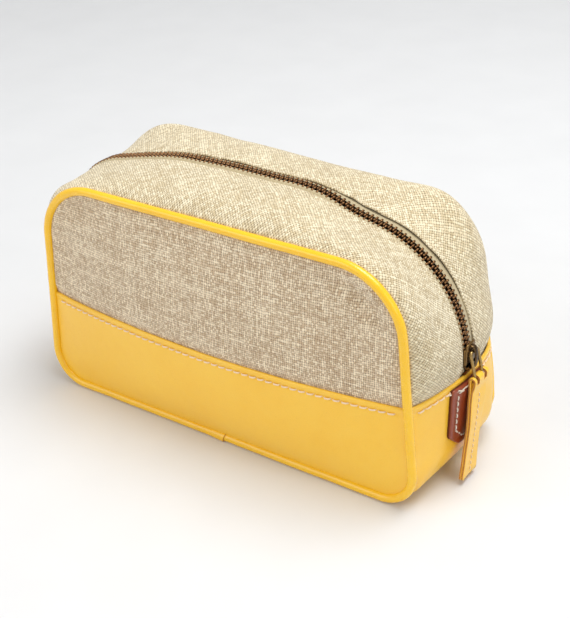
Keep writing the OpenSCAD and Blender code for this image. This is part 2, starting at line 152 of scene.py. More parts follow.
def zipp(q, d=0.0):
    """Line of the zip's surface, by arc length from the top's middle."""
    q = np.asarray(q, float)
    q, d = np.broadcast_arrays(q, np.asarray(d, float))
    a = np.abs(q)
    hump = np.where(q > 0, 2.2 * (1 - ease((a - 20) / (Q1 - 18))), 2.2 * (1 - ease((a - 45) / 70)))
    hump = hump + table(q, [-400, -146, -134, -118, -104, -71, -60, -45, -31, -13, 0, 15, 27, 38, 46, 54, 61, 66, 84, 400], [0, 0, 0.9, 1.6, 0.7, 0.6, 1.0, 1.2, 0.7, 0.35, 0.1, 0.15, 1.0, 1.4, 1.4, 0.8, 0.1, 0, 0, 0])
    xr, zr, nr, mr = zpath(a, d + hump, ZTR, ZTC + ZTR, A12, ZRC, ZXC, ZZC, Q1, Q2)
    xl, zl, nl, ml = zpath(a, d + hump, TL_, ZTC + ZTR, BL_, RL_, XL_, ZL_, QL1, QL2)
    left = q < 0
    return np.where(left, -xl, xr), np.where(left, zl, zr), np.where(left, -nl, nr), np.where(left, ml, mr)


def kq(k):
    return np.where(np.asarray(k) < 0, QHLL * np.asarray(k, float), QHL * np.asarray(k, float))


def prof(y):
    return 1 - (y / YP) ** 2


def hw(z, i):
    rb, rt = RB - i, RT - i
    z = np.asarray(z, float)
    bot = XB + rb * np.sqrt(np.clip(1 - ((z - ZB) / rb) ** 2, 0, 1))
    top = XT + rt * np.sqrt(np.clip(1 - ((z - ZT) / rt) ** 2, 0, 1))
    mid = XB + rb * math.cos(DL) - (z - ZB - rb * math.sin(DL)) * math.tan(DL)
    return np.where(z < ZB + rb * math.sin(DL), bot, np.where(z > ZT + rt * math.sin(DL), top, mid))


def swell(x, z, i=1.0):
    w = hw(z, i)
    u = np.clip(np.abs(x) / w, 0, 1)
    v = np.clip(np.abs(z - HT / 2) / (HT / 2 - i), 0, 1)
    return BULGE * (1 - u * u) * (1 - v ** 2.4) ** 0.85


# ---------------------------------------------------------------- smooth noise on the CPU, seeded
def _lattice(seed):
    return np.random.default_rng(seed).random((64, 64, 64)) * 2 - 1


_LAT = {}


def noise(x, y, z, scale, seed=1):
    if seed not in _LAT:
        _LAT[seed] = _lattice(seed)
    L = _LAT[seed]
    p = np.stack(np.broadcast_arrays(x, y, z), -1) / scale + 31.7
    i = np.floor(p).astype(int)
    f = p - i
    f = f * f * f * (f * (f * 6 - 15) + 10)
    out = 0
    for a in (0, 1):
        for b in (0, 1):
            for c in (0, 1):
                w = (f[..., 0] if a else 1 - f[..., 0]) * (f[..., 1] if b else 1 - f[..., 1]) * (f[..., 2] if c else 1 - f[..., 2])
                out = out + w * L[(i[..., 0] + a) % 64, (i[..., 1] + b) % 64, (i[..., 2] + c) % 64]
    return out


# ---------------------------------------------------------------- node helpers
class Nodes:
    def __init__(self, name):
        self.mat = bpy.data.materials.new(name)
        self.mat.use_nodes = True
        self.t = self.mat.node_tree
        self.t.nodes.clear()
        self.out = self.t.nodes.new("ShaderNodeOutputMaterial")
        self.bsdf = self.t.nodes.new("ShaderNodeBsdfPrincipled")
        self.t.links.new(self.bsdf.outputs[0], self.out.inputs[0])

    def put(self, sock, v):
        if isinstance(v, bpy.types.NodeSocket):
            self.t.links.new(v, sock)
        elif v is not None:
            sock.default_value = v

    def node(self, kind, **kw):
        n = self.t.nodes.new(kind)
        for k, v in kw.items():
            setattr(n, k, v)
        return n

    def m(self, op, a, b=None, c=None, clamp=False):
        n = self.node("ShaderNodeMath", operation=op, use_clamp=clamp)
        self.put(n.inputs[0], a)
        self.put(n.inputs[1], b)
        if c is not None:
            self.put(n.inputs[2], c)
        return n.outputs[0]

    def add(self, a, b):
        return self.m("ADD", a, b)

    def sub(self, a, b):
        return self.m("SUBTRACT", a, b)

    def mul(self, a, b):
        return self.m("MULTIPLY", a, b)

    def mad(self, a, b, c):
        return self.m("MULTIPLY_ADD", a, b, c)

    def rng(self, v, a, b, c, d, smooth=False):
        n = self.node("ShaderNodeMapRange", interpolation_type="SMOOTHSTEP" if smooth else "LINEAR")
        for s, x in zip(n.inputs[:5], (v, a, b, c, d)):
            self.put(s, x)
        return n.outputs[0]

    def mix(self, f, a, b, blend="MIX"):
        n = self.node("ShaderNodeMix", data_type="RGBA", blend_type=blend)
        self.put(n.inputs[0], f)
        self.put(n.inputs[6], a if isinstance(a, bpy.types.NodeSocket) else (*a, 1))
        self.put(n.inputs[7], b if isinstance(b, bpy.types.NodeSocket) else (*b, 1))
        return n.outputs[2]

    def fmix(self, f, a, b):
        n = self.node("ShaderNodeMix", data_type="FLOAT")
        self.put(n.inputs[0], f)
        self.put(n.inputs[2], a)
        self.put(n.inputs[3], b)
        return n.outputs[0]

    def vec(self, x, y, z=0.0):
        n = self.node("ShaderNodeCombineXYZ")
        for s, v in zip(n.inputs, (x, y, z)):
            self.put(s, v)
        return n.outputs[0]

    def sep(self, v):
        n = self.node("ShaderNodeSeparateXYZ")
        self.put(n.inputs[0], v)
        return n.outputs

    def attr(self, name):
        return self.node("ShaderNodeAttribute", attribute_name=name).outputs["Vector"]

    def obj_mm(self):
        n = self.node("ShaderNodeTexCoord")
        s = self.node("ShaderNodeVectorMath", operation="SCALE")
        self.put(s.inputs[0], n.outputs["Object"])
        s.inputs[3].default_value = 1000.0
        return s.outputs[0]

    def noise(self, v, scale, detail=2.0, rough=0.5, dist=0.0):
        n = self.node("ShaderNodeTexNoise")
        self.put(n.inputs["Vector"], v)
        n.inputs["Scale"].default_value = scale
        n.inputs["Detail"].default_value = detail
        n.inputs["Roughness"].default_value = rough
        n.inputs["Distortion"].default_value = dist
        return n.outputs["Fac"]

    def white(self, v):
        n = self.node("ShaderNodeTexWhiteNoise", noise_dimensions="3D")
        self.put(n.inputs[0], v)
        return n.outputs[0]

    def voronoi(self, v, scale, feature="DISTANCE_TO_EDGE"):
        n = self.node("ShaderNodeTexVoronoi", feature=feature)
        self.put(n.inputs["Vector"], v)
        n.inputs["Scale"].default_value = scale
        return n.outputs["Distance"]

    def bump(self, h, strength, dist_mm, normal=None):
        n = self.node("ShaderNodeBump")
        n.inputs["Strength"].default_value = strength
        n.inputs["Distance"].default_value = dist_mm * MM
        self.put(n.inputs["Height"], h)
        if normal is not None:
            self.put(n.inputs["Normal"], normal)
        return n.outputs[0]

    def scale(self, v, k):
        n = self.node("ShaderNodeVectorMath", operation="MULTIPLY")
        self.put(n.inputs[0], v)
        n.inputs[1].default_value = k
        return n.outputs[0]

    def done(self, color, rough, normal=None, **kw):
        self.put(self.bsdf.inputs["Base Color"], color if isinstance(color, bpy.types.NodeSocket) else (*color, 1))
        self.put(self.bsdf.inputs["Roughness"], rough)
        self.put(self.bsdf.inputs["Normal"], normal)
        for k, v in kw.items():
            self.bsdf.inputs[k.replace("_", " ")].default_value = v
        return self.mat


def srgb(r, g, b):
    f = lambda c: (c / 255 / 12.92) if c / 255 <= 0.04045 else ((c / 255 + 0.055) / 1.055) ** 2.4
    return (f(r), f(g), f(b))


def linen(name, light, mid, dark, pitch=(1.12, 1.24), angle=0.0):
    """Plain weave of uneven flax yarn. Coordinates in the piece's own flat cut, mm, from attribute flat."""
    n = Nodes(name)
    flat = n.attr("flat")
    u0, v0, _ = n.sep(flat)
    ca, sa = math.cos(angle), math.sin(angle)
    u = n.add(n.mul(u0, ca), n.mul(v0, sa))
    v = n.sub(n.mul(v0, ca), n.mul(u0, sa))
    # yarns wander
    wu = n.sub(n.noise(n.vec(n.mul(u, 0.16), n.mul(v, 0.05), 3.1), 1.0, 3, 0.6), 0.5)
    wv = n.sub(n.noise(n.vec(n.mul(u, 0.05), n.mul(v, 0.16), 9.7), 1.0, 3, 0.6), 0.5)
    fu = n.sub(n.noise(n.vec(n.mul(u, 0.9), n.mul(v, 0.35), 5.3), 1.0, 1), 0.5)
    fv = n.sub(n.noise(n.vec(n.mul(u, 0.35), n.mul(v, 0.9), 1.9), 1.0, 1), 0.5)
    U = n.mul(n.add(u, n.add(n.mul(wu, 2.6), n.mul(fu, 0.55))), 1 / pitch[0])
    V = n.mul(n.add(v, n.add(n.mul(wv, 2.6), n.mul(fv, 0.55))), 1 / pitch[1])
    iu, iv = n.m("FLOOR", U), n.m("FLOOR", V)
    # each yarn's own thickness and shade, with slubs along it
    ru = n.white(n.vec(iu, 0.5, 1.5))
    rv = n.white(n.vec(iv, 7.5, 2.5))
    su = n.noise(n.vec(n.mul(iu, 7.31), n.mul(V, 0.075), 0.0), 1.0, 3, 0.65)
    sv = n.noise(n.vec(n.mul(U, 0.075), n.mul(iv, 5.17), 4.0), 1.0, 3, 0.65)
    tu = n.add(n.mul(n.sub(ru, 0.5), 0.32), n.mul(n.sub(su, 0.5), 1.0))
    tv = n.add(n.mul(n.sub(rv, 0.5), 0.32), n.mul(n.sub(sv, 0.5), 1.0))
    pu = n.m("POWER", n.m("ABSOLUTE", n.m("SINE", n.mul(U, PI))), n.rng(tu, -0.5, 0.5, 0.85, 0.3))
    pv = n.m("POWER", n.m("ABSOLUTE", n.m("SINE", n.mul(V, PI))), n.rng(tv, -0.5, 0.5, 0.85, 0.3))
    lu = n.mad(n.m("SINE", n.mul(n.add(V, iu), PI)), 0.36, 0.6)
    lv = n.mad(n.m("SINE", n.mul(n.add(n.add(U, iv), 1.0), PI)), 0.36, 0.6)
    hu = n.mul(pu, n.add(lu, n.mul(tu, 0.25)))
    hv = n.mul(pv, n.add(lv, n.mul(tv, 0.25)))
    h = n.m("MAXIMUM", hu, hv)
    top = n.rng(n.sub(hu, hv), -0.06, 0.06, 0, 1)
    tone = n.fmix(top, tv, tu)
    fibre = n.fmix(top, n.noise(n.vec(n.mul(u, 0.9), n.mul(v, 7.0), 0.3), 1.0, 2), n.noise(n.vec(n.mul(u, 7.0), n.mul(v, 0.9), 0.7), 1.0, 2))
    blot = n.noise(n.vec(n.mul(u0, 0.035), n.mul(v0, 0.035), 2.2), 1.0, 3, 0.6)
    cell = n.sub(n.white(n.vec(iu, iv, 3.3)), 0.5)
    t = n.add(n.add(n.mul(tone, 0.85), n.add(n.mul(n.sub(fibre, 0.5), 1.0), n.mul(cell, 0.8))), n.add(0.5, n.mul(n.sub(blot, 0.5), 0.5)))
    c = n.mix(n.rng(t, 0.2, 0.85, 0, 1), mid, light)
    # painted shade: the dark colour fills the low gaps and pinholes between yarns
    c = n.mix(n.rng(h, 0.18, 0.74, 1, 0), c, dark)
    # a few gold and brown flecks of straw
    fl = n.noise(n.vec(n.mul(u, 0.55), n.mul(v, 0.55), 8.8), 1.0, 4, 0.75)
    c = n.mix(n.rng(fl, 0.64, 0.74, 0, 0.5), c, tuple(x * y for x, y in zip(mid, (1.02, 0.82, 0.6))))
    hh = n.add(h, n.mul(n.sub(fibre, 0.5), 0.3))
    return n.done(c, 0.88, n.bump(hh, 0.85, 0.42), Sheen_Weight=0.25, Sheen_Roughness=0.5, Specular_IOR_Level=0.25)


def leather(name, color, deep, edge_highlight, rough=0.36, grain=1.0, coat=0.25, grainsize=1.0):
    n = Nodes(name)
    p = n.obj_mm()
    cells = n.voronoi(p, 1.15 / grainsize)
    fine = n.noise(p, 2.6, 3, 0.6)
    pores = n.rng(n.noise(p, 1.9, 1, 0.5), 0.66, 0.76, 0, 1)
    big = n.noise(p, 0.03, 3, 0.55)
    med = n.noise(p, 0.16, 3, 0.6)
    t = n.add(n.mul(n.sub(big, 0.5), 0.9), n.mul(n.sub(med, 0.5), 0.45))
    c = n.mix(n.rng(t, -0.25, 0.3, 0, 1), deep, color)
    crease = n.rng(cells, 0.0, 0.11, 1, 0)
    c = n.mix(n.mul(crease, 0.12 * grain), c, tuple(x * 0.6 for x in deep))
    c = n.mix(n.mul(pores, 0.18), c, tuple(x * 0.7 for x in deep))
    # painted highlight: lighter colour laid on edges that stand proud
    geo = n.node("ShaderNodeNewGeometry")
    edge = n.rng(n.add(geo.outputs["Pointiness"], n.mul(n.sub(fine, 0.5), 0.05)), 0.53, 0.6, 0, 1)
    c = n.mix(n.mul(edge, 0.4), c, edge_highlight)
    scuff = n.rng(n.noise(n.scale(p, (0.05, 0.3, 0.5)), 1.0, 4, 0.7), 0.6, 0.75, 0, 1)
    r = n.add(n.mad(n.sub(med, 0.5), 0.14, rough), n.add(n.mul(scuff, 0.05), n.mul(crease, 0.05)))
    h = n.add(n.mul(n.rng(cells, 0.0, 0.25, 0, 1, True), 0.5), n.add(n.mul(fine, 0.35), n.mul(pores, -0.25)))
    return n.done(c, r, n.bump(h, 0.30 * grain, 0.09, n.bump(n.noise(p, 0.22, 2), 0.25, 0.35)), Coat_Weight=coat, Coat_Roughness=0.25, Specular_IOR_Level=0.5)


def raw_edge(name, color, dark):
    """Cut edge of veg-tanned leather, with its layers."""
    n = Nodes(name)
    p = n.obj_mm()
    f = n.noise(n.scale(p, (4.5, 1.2, 0.5)), 1.0, 4, 0.65)
    g = n.noise(p, 1.1, 3, 0.6)
    c = n.mix(n.rng(n.add(n.mul(f, 0.7), n.mul(g, 0.3)), 0.35, 0.66, 0, 1), dark, color)
    return n.done(c, 0.62, n.bump(f, 0.6, 0.12), Specular_IOR_Level=0.35)


def metal(name, dark, light, rough=0.36, cut=(0.5, 0.56)):
    n = Nodes(name)
    p = n.obj_mm()
    g1 = n.noise(p, 0.55, 4, 0.65)
    g2 = n.noise(p, 3.5, 3, 0.6)
    geo = n.node("ShaderNodeNewGeometry")
    # proud edges: partly brass rubbed bare, partly painted highlight in the light colour
    rub_and_glint = n.rng(n.add(geo.outputs["Pointiness"], n.mul(n.sub(g2, 0.5), 0.06)), cut[0], cut[1], 0, 1, True)
    c = n.mix(n.rng(g1, 0.35, 0.68, 0, 0.45), dark, light)
    c = n.mix(n.mul(rub_and_glint, 0.85), c, light)
    r = n.add(n.mad(n.sub(g1, 0.5), 0.25, rough), n.mul(rub_and_glint, -0.08))
    return n.done(c, r, n.bump(n.add(g2, n.mul(g1, 0.6)), 0.22, 0.06), Metallic=0.92)


def thread(name, color, dark):
    n = Nodes(name)
    x, y, z = n.sep(n.attr("flat"))
    tw = n.m("SINE", n.add(n.mul(x, 2 * PI / 0.62), y))
    p = n.obj_mm()
    f = n.noise(p, 6.0, 3, 0.6)
    c = n.mix(n.rng(n.add(n.mul(tw, 0.3), f), 0.1, 0.85, 0, 1), dark, color)
    return n.done(c, 0.6, n.bump(n.add(tw, n.mul(f, 0.8)), 0.5, 0.1), Sheen_Weight=0.2, Specular_IOR_Level=0.4)


def tape_cloth(name, light, dark):
    """Zip tape: fine herringbone."""
    n = Nodes(name)
    u, v, _ = n.sep(n.attr("flat"))
    zig = n.m("PINGPONG", n.mul(v, 1.0), 1.1)
    w = n.m("SINE", n.mul(n.add(n.mul(zig, 1.2), u), 2 * PI / 0.8))
    f = n.noise(n.vec(n.mul(u, 2.0), n.mul(v, 2.0), 0.0), 1.0, 3, 0.6)
    c = n.mix(n.rng(n.add(n.mul(w, 0.35), f), 0.15, 0.9, 0, 1), dark, light)
    return n.done(c, 0.85, n.bump(w, 0.5, 0.12), Sheen_Weight=0.2, Specular_IOR_Level=0.25)


# each linen's third colour is the painted shade in the gaps between its yarns
M_LINEN = linen("linen_panel", srgb(252, 236, 206), srgb(210, 184, 150), srgb(122, 94, 64))
M_LINEN_TOP = linen("linen_top", srgb(248, 236, 204), srgb(214, 196, 158), srgb(118, 94, 56), angle=math.radians(43))
# each leather's third colour is the painted highlight laid on its proud edges
M_LEATHER = leather("leather_yellow", srgb(255, 205, 66), srgb(252, 196, 50), srgb(255, 216, 104), rough=0.33)
M_PIPE = leather("leather_piping", srgb(255, 204, 28), srgb(252, 194, 12), srgb(254, 216, 96), rough=0.24, grain=0.6, coat=0.5)
M_BROWN = leather("leather_brown", srgb(160, 72, 36), srgb(132, 50, 22), srgb(190, 104, 62), rough=0.36, grain=1.3)
M_RAW = raw_edge("leather_cut_edge", srgb(226, 160, 90), srgb(170, 104, 46))
M_RAWB = raw_edge("leather_cut_edge_brown", srgb(120, 52, 28), srgb(70, 26, 14))
M_THREAD = thread("thread_cream", srgb(255, 236, 206), srgb(244, 206, 164))
M_THREADW = thread("thread_white", srgb(244, 236, 222), srgb(205, 186, 160))
M_TEETH = metal("zip_brass", srgb(58, 38, 24), srgb(138, 100, 64), 0.4, (0.5, 0.56))
M_SLIDER = metal("slider_brass", srgb(52, 42, 36), srgb(150, 118, 72), 0.36, (0.505, 0.56))
M_RING = metal("ring_brass", srgb(96, 78, 50), srgb(190, 158, 98), 0.33, (0.45, 0.6))
M_TAPE = tape_cloth("zip_tape", srgb(214, 200, 166), srgb(170, 152, 112))
M_LINING = linen("lining_cotton", srgb(222, 210, 184), srgb(200, 186, 156), srgb(160, 142, 110), pitch=(0.5, 0.5))
M_CORD = thread("filler_cord", srgb(226, 220, 204), srgb(186, 176, 150))
M_BOARD = raw_edge("board", srgb(150, 130, 100), srgb(110, 92, 66))


# ---------------------------------------------------------------- mesh helpers
def make(name, V, F, mats, body="bag", nodes=(), smooth=True, flat=None, mat_index=None, subsurf=0):
    me = bpy.data.meshes.new(name)
    me.from_pydata((np.asarray(V, float) * MM).tolist(), [], [tuple(int(i) for i in f) for f in F])
    me.validate()
    ob = bpy.data.objects.new(name, me)
    bpy.context.scene.collection.objects.link(ob)
    for m in mats if isinstance(mats, (list, tuple)) else [mats]:
        me.materials.append(m)
    if mat_index is not None:
        me.polygons.foreach_set("material_index", np.asarray(mat_index, np.int32))
    if smooth:
        me.polygons.foreach_set("use_smooth", [True] * len(me.polygons))
    if flat is not None:
        a = me.attributes.new("flat", "FLOAT_VECTOR", "POINT")
        a.data.foreach_set("vector", np.asarray(flat, np.float32).ravel())
    bm = bmesh.new()
    bm.from_mesh(me)
    bmesh.ops.recalc_face_normals(bm, faces=bm.faces)
    bm.to_mesh(me)
    bm.free()
    me.update()
    if subsurf:
        mo = ob.modifiers.new("Smooth", "SUBSURF")
        mo.levels = mo.render_levels = subsurf
    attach(ob, body)
    if nodes:
        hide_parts(*nodes)
    return ob


def normals(P):
    du = np.gradient(P, axis=0)
    dv = np.gradient(P, axis=1)
    n = np.cross(du, dv)
    return n / np.maximum(np.linalg.norm(n, axis=-1, keepdims=True), 1e-9)


def shell(P, t, sign=1.0, e=None, r=None, N=None):
    """Closed sheet of thickness t under outer grid P (n, m, 3); e is each point's distance to a rolled edge of radius r."""
    n, m, _ = P.shape
    N = (normals(P) if N is None else N) * sign
    ins = np.zeros((n, m)) if e is None else r - np.sqrt(np.clip(r * r - np.clip(r - e, 0, r) ** 2, 0, None))
    th = np.full((n, m), t) if e is None else t + (2 * r - t) * ease(1 - (e - r) / (2.2 * r)) if r * 2 > t else np.full((n, m), t)
    A = P - N * ins[..., None]
    B = P - N * (th - ins)[..., None]
    V = np.concatenate([A.reshape(-1, 3), B.reshape(-1, 3)])
    k = n * m
    idx = np.arange(k).reshape(n, m)
    a, b, c, d = idx[:-1, :-1].ravel(), idx[1:, :-1].ravel(), idx[1:, 1:].ravel(), idx[:-1, 1:].ravel()
    F = [np.stack([a, b, c, d], 1), np.stack([a + k, d + k, c + k, b + k], 1)]
    for line in (idx[:, 0], idx[:, -1][::-1], idx[0][::-1], idx[-1]):
        F.append(np.stack([line[:-1], line[:-1] + k, line[1:] + k, line[1:]], 1))
    return V, np.concatenate(F)


def tube(C, T_up, rad, sides=16, closed=False, phase=0.0, caps=True, ry=None):
    """Sweep of a circle along centres C (n, 3); T_up is a reference normal for each, rad may be an array (n,) or (n, sides)."""
    n = len(C)
    if closed:
        t = np.roll(C, -1, 0) - np.roll(C, 1, 0)
    else:
        t = np.gradient(C, axis=0)
    t = t / np.linalg.norm(t, axis=1, keepdims=True)
    up = T_up - (T_up * t).sum(1, keepdims=True) * t
    up = up / np.linalg.norm(up, axis=1, keepdims=True)
    side = np.cross(t, up)
    a = np.arange(sides) * 2 * PI / sides + phase
    rad = np.broadcast_to(np.asarray(rad, float).reshape(n, -1) if np.ndim(rad) else rad, (n, sides))
    ky = 1.0 if ry is None else ry
    V = C[:, None] + up[:, None] * (np.cos(a) * rad)[..., None] + side[:, None] * (np.sin(a) * rad * ky)[..., None]
    idx = np.arange(n * sides).reshape(n, sides)
    if closed:
        idx2 = np.vstack([idx, idx[:1]])
    else:
        idx2 = idx
    i0, i1 = idx2[:-1], idx2[1:]
    F = np.stack([i0, np.roll(i0, -1, 1), np.roll(i1, -1, 1), i1], -1).reshape(-1, 4).tolist()
    if caps and not closed:
        F += [idx[0][::-1].tolist(), idx[-1].tolist()]
    return V.reshape(-1, 3), F


def stitches(name, segs, body, nodes, mat, rad=0.36, lift=0.34, dip=0.5):
    """Each segment is (p, q, normal): thread comes up at p, lies on the surface and goes down at q."""
    Vs, Fs, fl, off = [], [], [], 0
    for k, (p, q, nrm) in enumerate(segs):
        p, q, nrm = np.asarray(p, float), np.asarray(q, float), np.asarray(nrm, float)
        nrm = nrm / np.linalg.norm(nrm)
        t = np.array([0, 0.06, 0.14, 0.26, 0.42, 0.58, 0.74, 0.86, 0.94, 1])
        hgt = np.array([-dip, -0.05, 0.22, 0.34, 0.37, 0.37, 0.34, 0.22, -0.05, -dip]) * (lift / 0.34)
        hgt = np.where(hgt < 0, hgt * 0.34 / lift, hgt)
        side = np.cross(q - p, nrm)
        side /= np.linalg.norm(side)
        bow = (rng.random() - 0.5) * 0.12
        C = p + (q - p) * t[:, None] + nrm * hgt[:, None] + side * (np.sin(t * PI) * bow)[:, None]
        rr = rad * (1 + 0.06 * (rng.random() - 0.5)) * np.array([0.75, 0.9, 1, 1.03, 1.04, 1.04, 1.03, 1, 0.9, 0.75])
        V, F = tube(C, np.tile(nrm, (len(t), 1)), rr, 8, ry=1.12)
        L = np.linalg.norm(q - p)
        fl.append(np.stack([np.repeat(t * L, 8), np.tile(np.arange(8) * 2 * PI / 8, len(t)), np.full(len(V), k * 1.7)], 1))
        Fs += [[i + off for i in f] for f in F]
        Vs.append(V)
        off += len(V)
    return make(name, np.concatenate(Vs), Fs, mat, body, nodes, flat=np.concatenate(fl))


def merge_rows(base, extra):
    return np.unique(np.round(np.concatenate([base, extra]), 4))


PITCH = 4.75
STZ = HL - 4.0


def stitch_dent(a, b, line_b, first, pitch=PITCH, gap=1.0):
    """Groove and needle holes: a runs along the line, b across it."""
    ph = np.mod(a - first + pitch / 2, pitch) - pitch / 2
    hole = gauss(ph + gap / 2, 0.55) + gauss(ph - gap / 2, 0.55)
    near = gauss(b - line_b, 0.75)
    return -0.2 * gauss(b - line_b, 1.1) - 0.3 * hole * near + 0.12 * gauss(ph - pitch / 2, 1.2) * gauss(b - line_b, 2.4) + 0.1 * gauss(ph + pitch / 2, 1.2) * gauss(b - line_b, 2.4)


def back_in(sv):
    """How far the back piping is drawn in by the full top, along the seam."""
    a = np.mod(np.asarray(sv, float) + S5, 2 * S5) - S5
    right = table(a, [-400, 0, 60, 78, 104, 130, 147, 167, 181, 193, 204, 220, 234, 400], [-0.5, -0.5, -0.5, -0.7, -3.5, -5.0, -4.3, -4.0, -2.9, -2.3, -2.3, -1.5, 0, 0])
    b = np.abs(a)
    left = 4.0 * gauss(b - (S1 + S2) / 2, 24) - 1.5 * ease((b - S1 + 10) / 30) * (1 - ease((b - S3 + 15) / 25)) - 0.5 * (1 - ease((b - S1 + 20) / 30))
    return np.where(a < 0, left, right)


def back_shift(X, Z):
    """Sideways shift that keeps the back panel's rim on the back piping."""
    sv = np.linspace(0, 2 * S5, 360, endpoint=False)
    x, z, nx, nz = seam(sv)
    b = back_in(sv)
    shp = X.shape
    P = np.stack([X.ravel(), Z.ravel()], 1)
    dx, dz = np.zeros(len(P)), np.zeros(len(P))
    for i in range(0, len(P), 4000):
        d = np.hypot(P[i:i + 4000, None, 0] - x[None], P[i:i + 4000, None, 1] - z[None])
        j = d.argmin(1)
        w = ease(1 - d.min(1) / 30)
        dx[i:i + 4000] = nx[j] * b[j] * w
        dz[i:i + 4000] = nz[j] * b[j] * w
    return dx.reshape(shp), dz.reshape(shp)


# ---------------------------------------------------------------- front and back panels
def panel_extra(x, z, side):
    """Soft dents and waves of a filled cloth panel, outwards positive."""
    d = 0.55 * noise(x, z, 0, 34, 11 + side) + 0.28 * noise(x, z, 0, 15, 21 + side)
    lin = ease((z - HL + 2) / 14)
    d = d * (0.45 + 0.55 * lin)
    if side == 0:
        # valley that follows the right top corner inside the piping, and the roll outside it
        dx, dz = x - XT, z - ZT
        rr = np.hypot(dx, dz)
        ang = np.degrees(np.arctan2(dz, dx))
        w = ease((ang - 6) / 26) * (1 - ease((ang - 74) / 34))
        d = d - 2.1 * w * gauss(rr - 23.0 - 0.03 * (ang - 45), 4.2) + 0.8 * w * gauss(rr - 31, 3.2)
        # dent under the piping at the left top corner
        a = (x + 82) * 0.94 + (z - 114) * 0.34
        b = -(x + 82) * 0.34 + (z - 114) * 0.94
        d = d - 2.0 * gauss(a, 13) * gauss(b, 4.6) + 0.7 * gauss(a + 4, 15) * gauss(b + 9, 5)
        d = d - 0.8 * gauss(x + 100, 6) * gauss(z - 92, 14)
    else:
        dx, dz = np.abs(x) - XT, z - ZT
        rr = np.hypot(dx, dz)
        ang = np.degrees(np.arctan2(dz, dx))
        w = ease((ang - 10) / 30) * (1 - ease((ang - 70) / 30))
        d = d - 1.3 * w * gauss(rr - 23.0, 4.5)
    return d * ease(np.minimum(hw(z, 1.0) - np.abs(x), np.minimum(z, HT - z)) / 7)


def panel_y(x, z, side, edge=1.0):
    s = -1.0 if side == 0 else 1.0
    return s * (YP + swell(x, z, edge) + panel_extra(x, z, side))


def panel_grid(zs, n, side, inset, e=1.0):
    u = np.sin(np.linspace(-1, 1, n) * PI / 2 * 0.96) / math.sin(PI / 2 * 0.96)
    u = 0.45 * u + 0.55 * np.linspace(-1, 1, n)
    w = hw(zs, e)
    X = w[:, None] * u[None]
    Z = np.broadcast_to(zs[:, None], X.shape)
    s = -1.0 if side == 0 else 1.0
    Y = s * (YP + swell(X, Z, e) + panel_extra(X, Z, side) - inset)
    return X, Y, Z


def build_panel(side):
    s = -1.0 if side == 0 else 1.0
    tag = "front" if side == 0 else "back"
    # leather below
    zs = np.concatenate([1.0 + (1 - np.cos(np.linspace(0, PI / 2, 34))) * 40 * 0.9, np.arange(38.2, HL - 7, 1.2)])
    zs = merge_rows(zs, np.concatenate([np.arange(HL - 7, HL - 1.2, 0.42), HL - np.array([1.2, 0.95, 0.7, 0.5, 0.32, 0.18, 0.08, 0.02, 0.0])]))
    X, Y, Z = panel_grid(zs, 300, side, 0.0)
    dent = stitch_dent(X, Z, STZ, 0.0)
    lip = 0.35 * ease((Z - (HL - 3.4)) / 2.0)
    Y = Y + s * (dent + lip) * ease((hw(Z, 1.0) - np.abs(X)) / 3)
    dx, dz = back_shift(X, Z) if side else (0.0, 0.0)
    P = np.stack([X + dx, Y, Z + dz + ZF], -1)
    V, F = shell(P, 1.2, s, e=HL - Z, r=1.05)
    make(tag + "_leather_panel", V, F, M_LEATHER, nodes=(tag + "_leather",), flat=np.tile(np.stack([X, Z, 0 * X], -1).reshape(-1, 3), (2, 1)))
    # linen above, its lower edge under the leather
    zs = np.concatenate([np.linspace(HL - 6, HL + 4, 9), np.linspace(HL + 5, HT - 24, 30), HT - 24 + 23 * np.sin(np.linspace(0.03, PI / 2, 26))])
    X, Y, Z = panel_grid(zs, 240, side, 0.0)
    tuck = 1.5 * (1 - ease((Z - HL + 0.5) / 6.5)) + 0.1
    Y = Y - s * tuck
    dx, dz = back_shift(X, Z) if side else (0.0, 0.0)
    P = np.stack([X + dx, Y, Z + dz + ZF], -1)
    V, F = shell(P, 0.9, s)
    make(tag + "_linen_panel", V, F, M_LINEN, nodes=(tag + "_linen",), flat=np.tile(np.stack([X, Z, 0 * X], -1).reshape(-1, 3), (2, 1)))
    # lining behind both
    zs = np.linspace(7, HT - 7, 40)
    X, Y, Z = panel_grid(zs, 70, side, 3.6, e=6.5)
    dx, dz = back_shift(X, Z) if side else (0.0, 0.0)
    P = np.stack([X + dx, Y, Z + dz + ZF], -1)
    V, F = shell(P, 0.5, s)
    make("lining_" + tag + "_cloth", V, F, M_LINING, nodes=("lining_" + tag,), flat=np.tile(np.stack([X, Z, 0 * X], -1).reshape(-1, 3), (2, 1)))
    # stitches
    segs = []
    w = float(hw(STZ, 1.0)) - 2.2
    n = int(w // PITCH)
    for i in range(-n, n):
        x0, x1 = i * PITCH + 0.5, (i + 1) * PITCH - 0.5
        z0, z1 = STZ - 0.22, STZ + 0.22
        pts = []
        for x, z in ((x0, z0), (x1, z1)):
            pts.append(np.array([x, float(panel_y(x, z, side)) - s * 0.12, z + ZF]))
        h = 1.0
        gx = (float(panel_y((x0 + x1) / 2 + h, STZ, side)) - float(panel_y((x0 + x1) / 2 - h, STZ, side))) / (2 * h)
        gz = (float(panel_y((x0 + x1) / 2, STZ + h, side)) - float(panel_y((x0 + x1) / 2, STZ - h, side))) / (2 * h)
        nrm = np.array([-gx, 1.0, -gz]) * s
        if side:
            for q in pts:
                dx, dz = back_shift(np.array([q[0]]), np.array([q[2] - ZF]))
                q += [dx[0], 0, dz[0]]
        segs.append((pts[0], pts[1], nrm))
    stitches(tag + "_edge_stitching", segs, "bag", (tag + "_stitches",), M_THREAD, rad=0.4, lift=0.5)


build_panel(0)
build_panel(1)


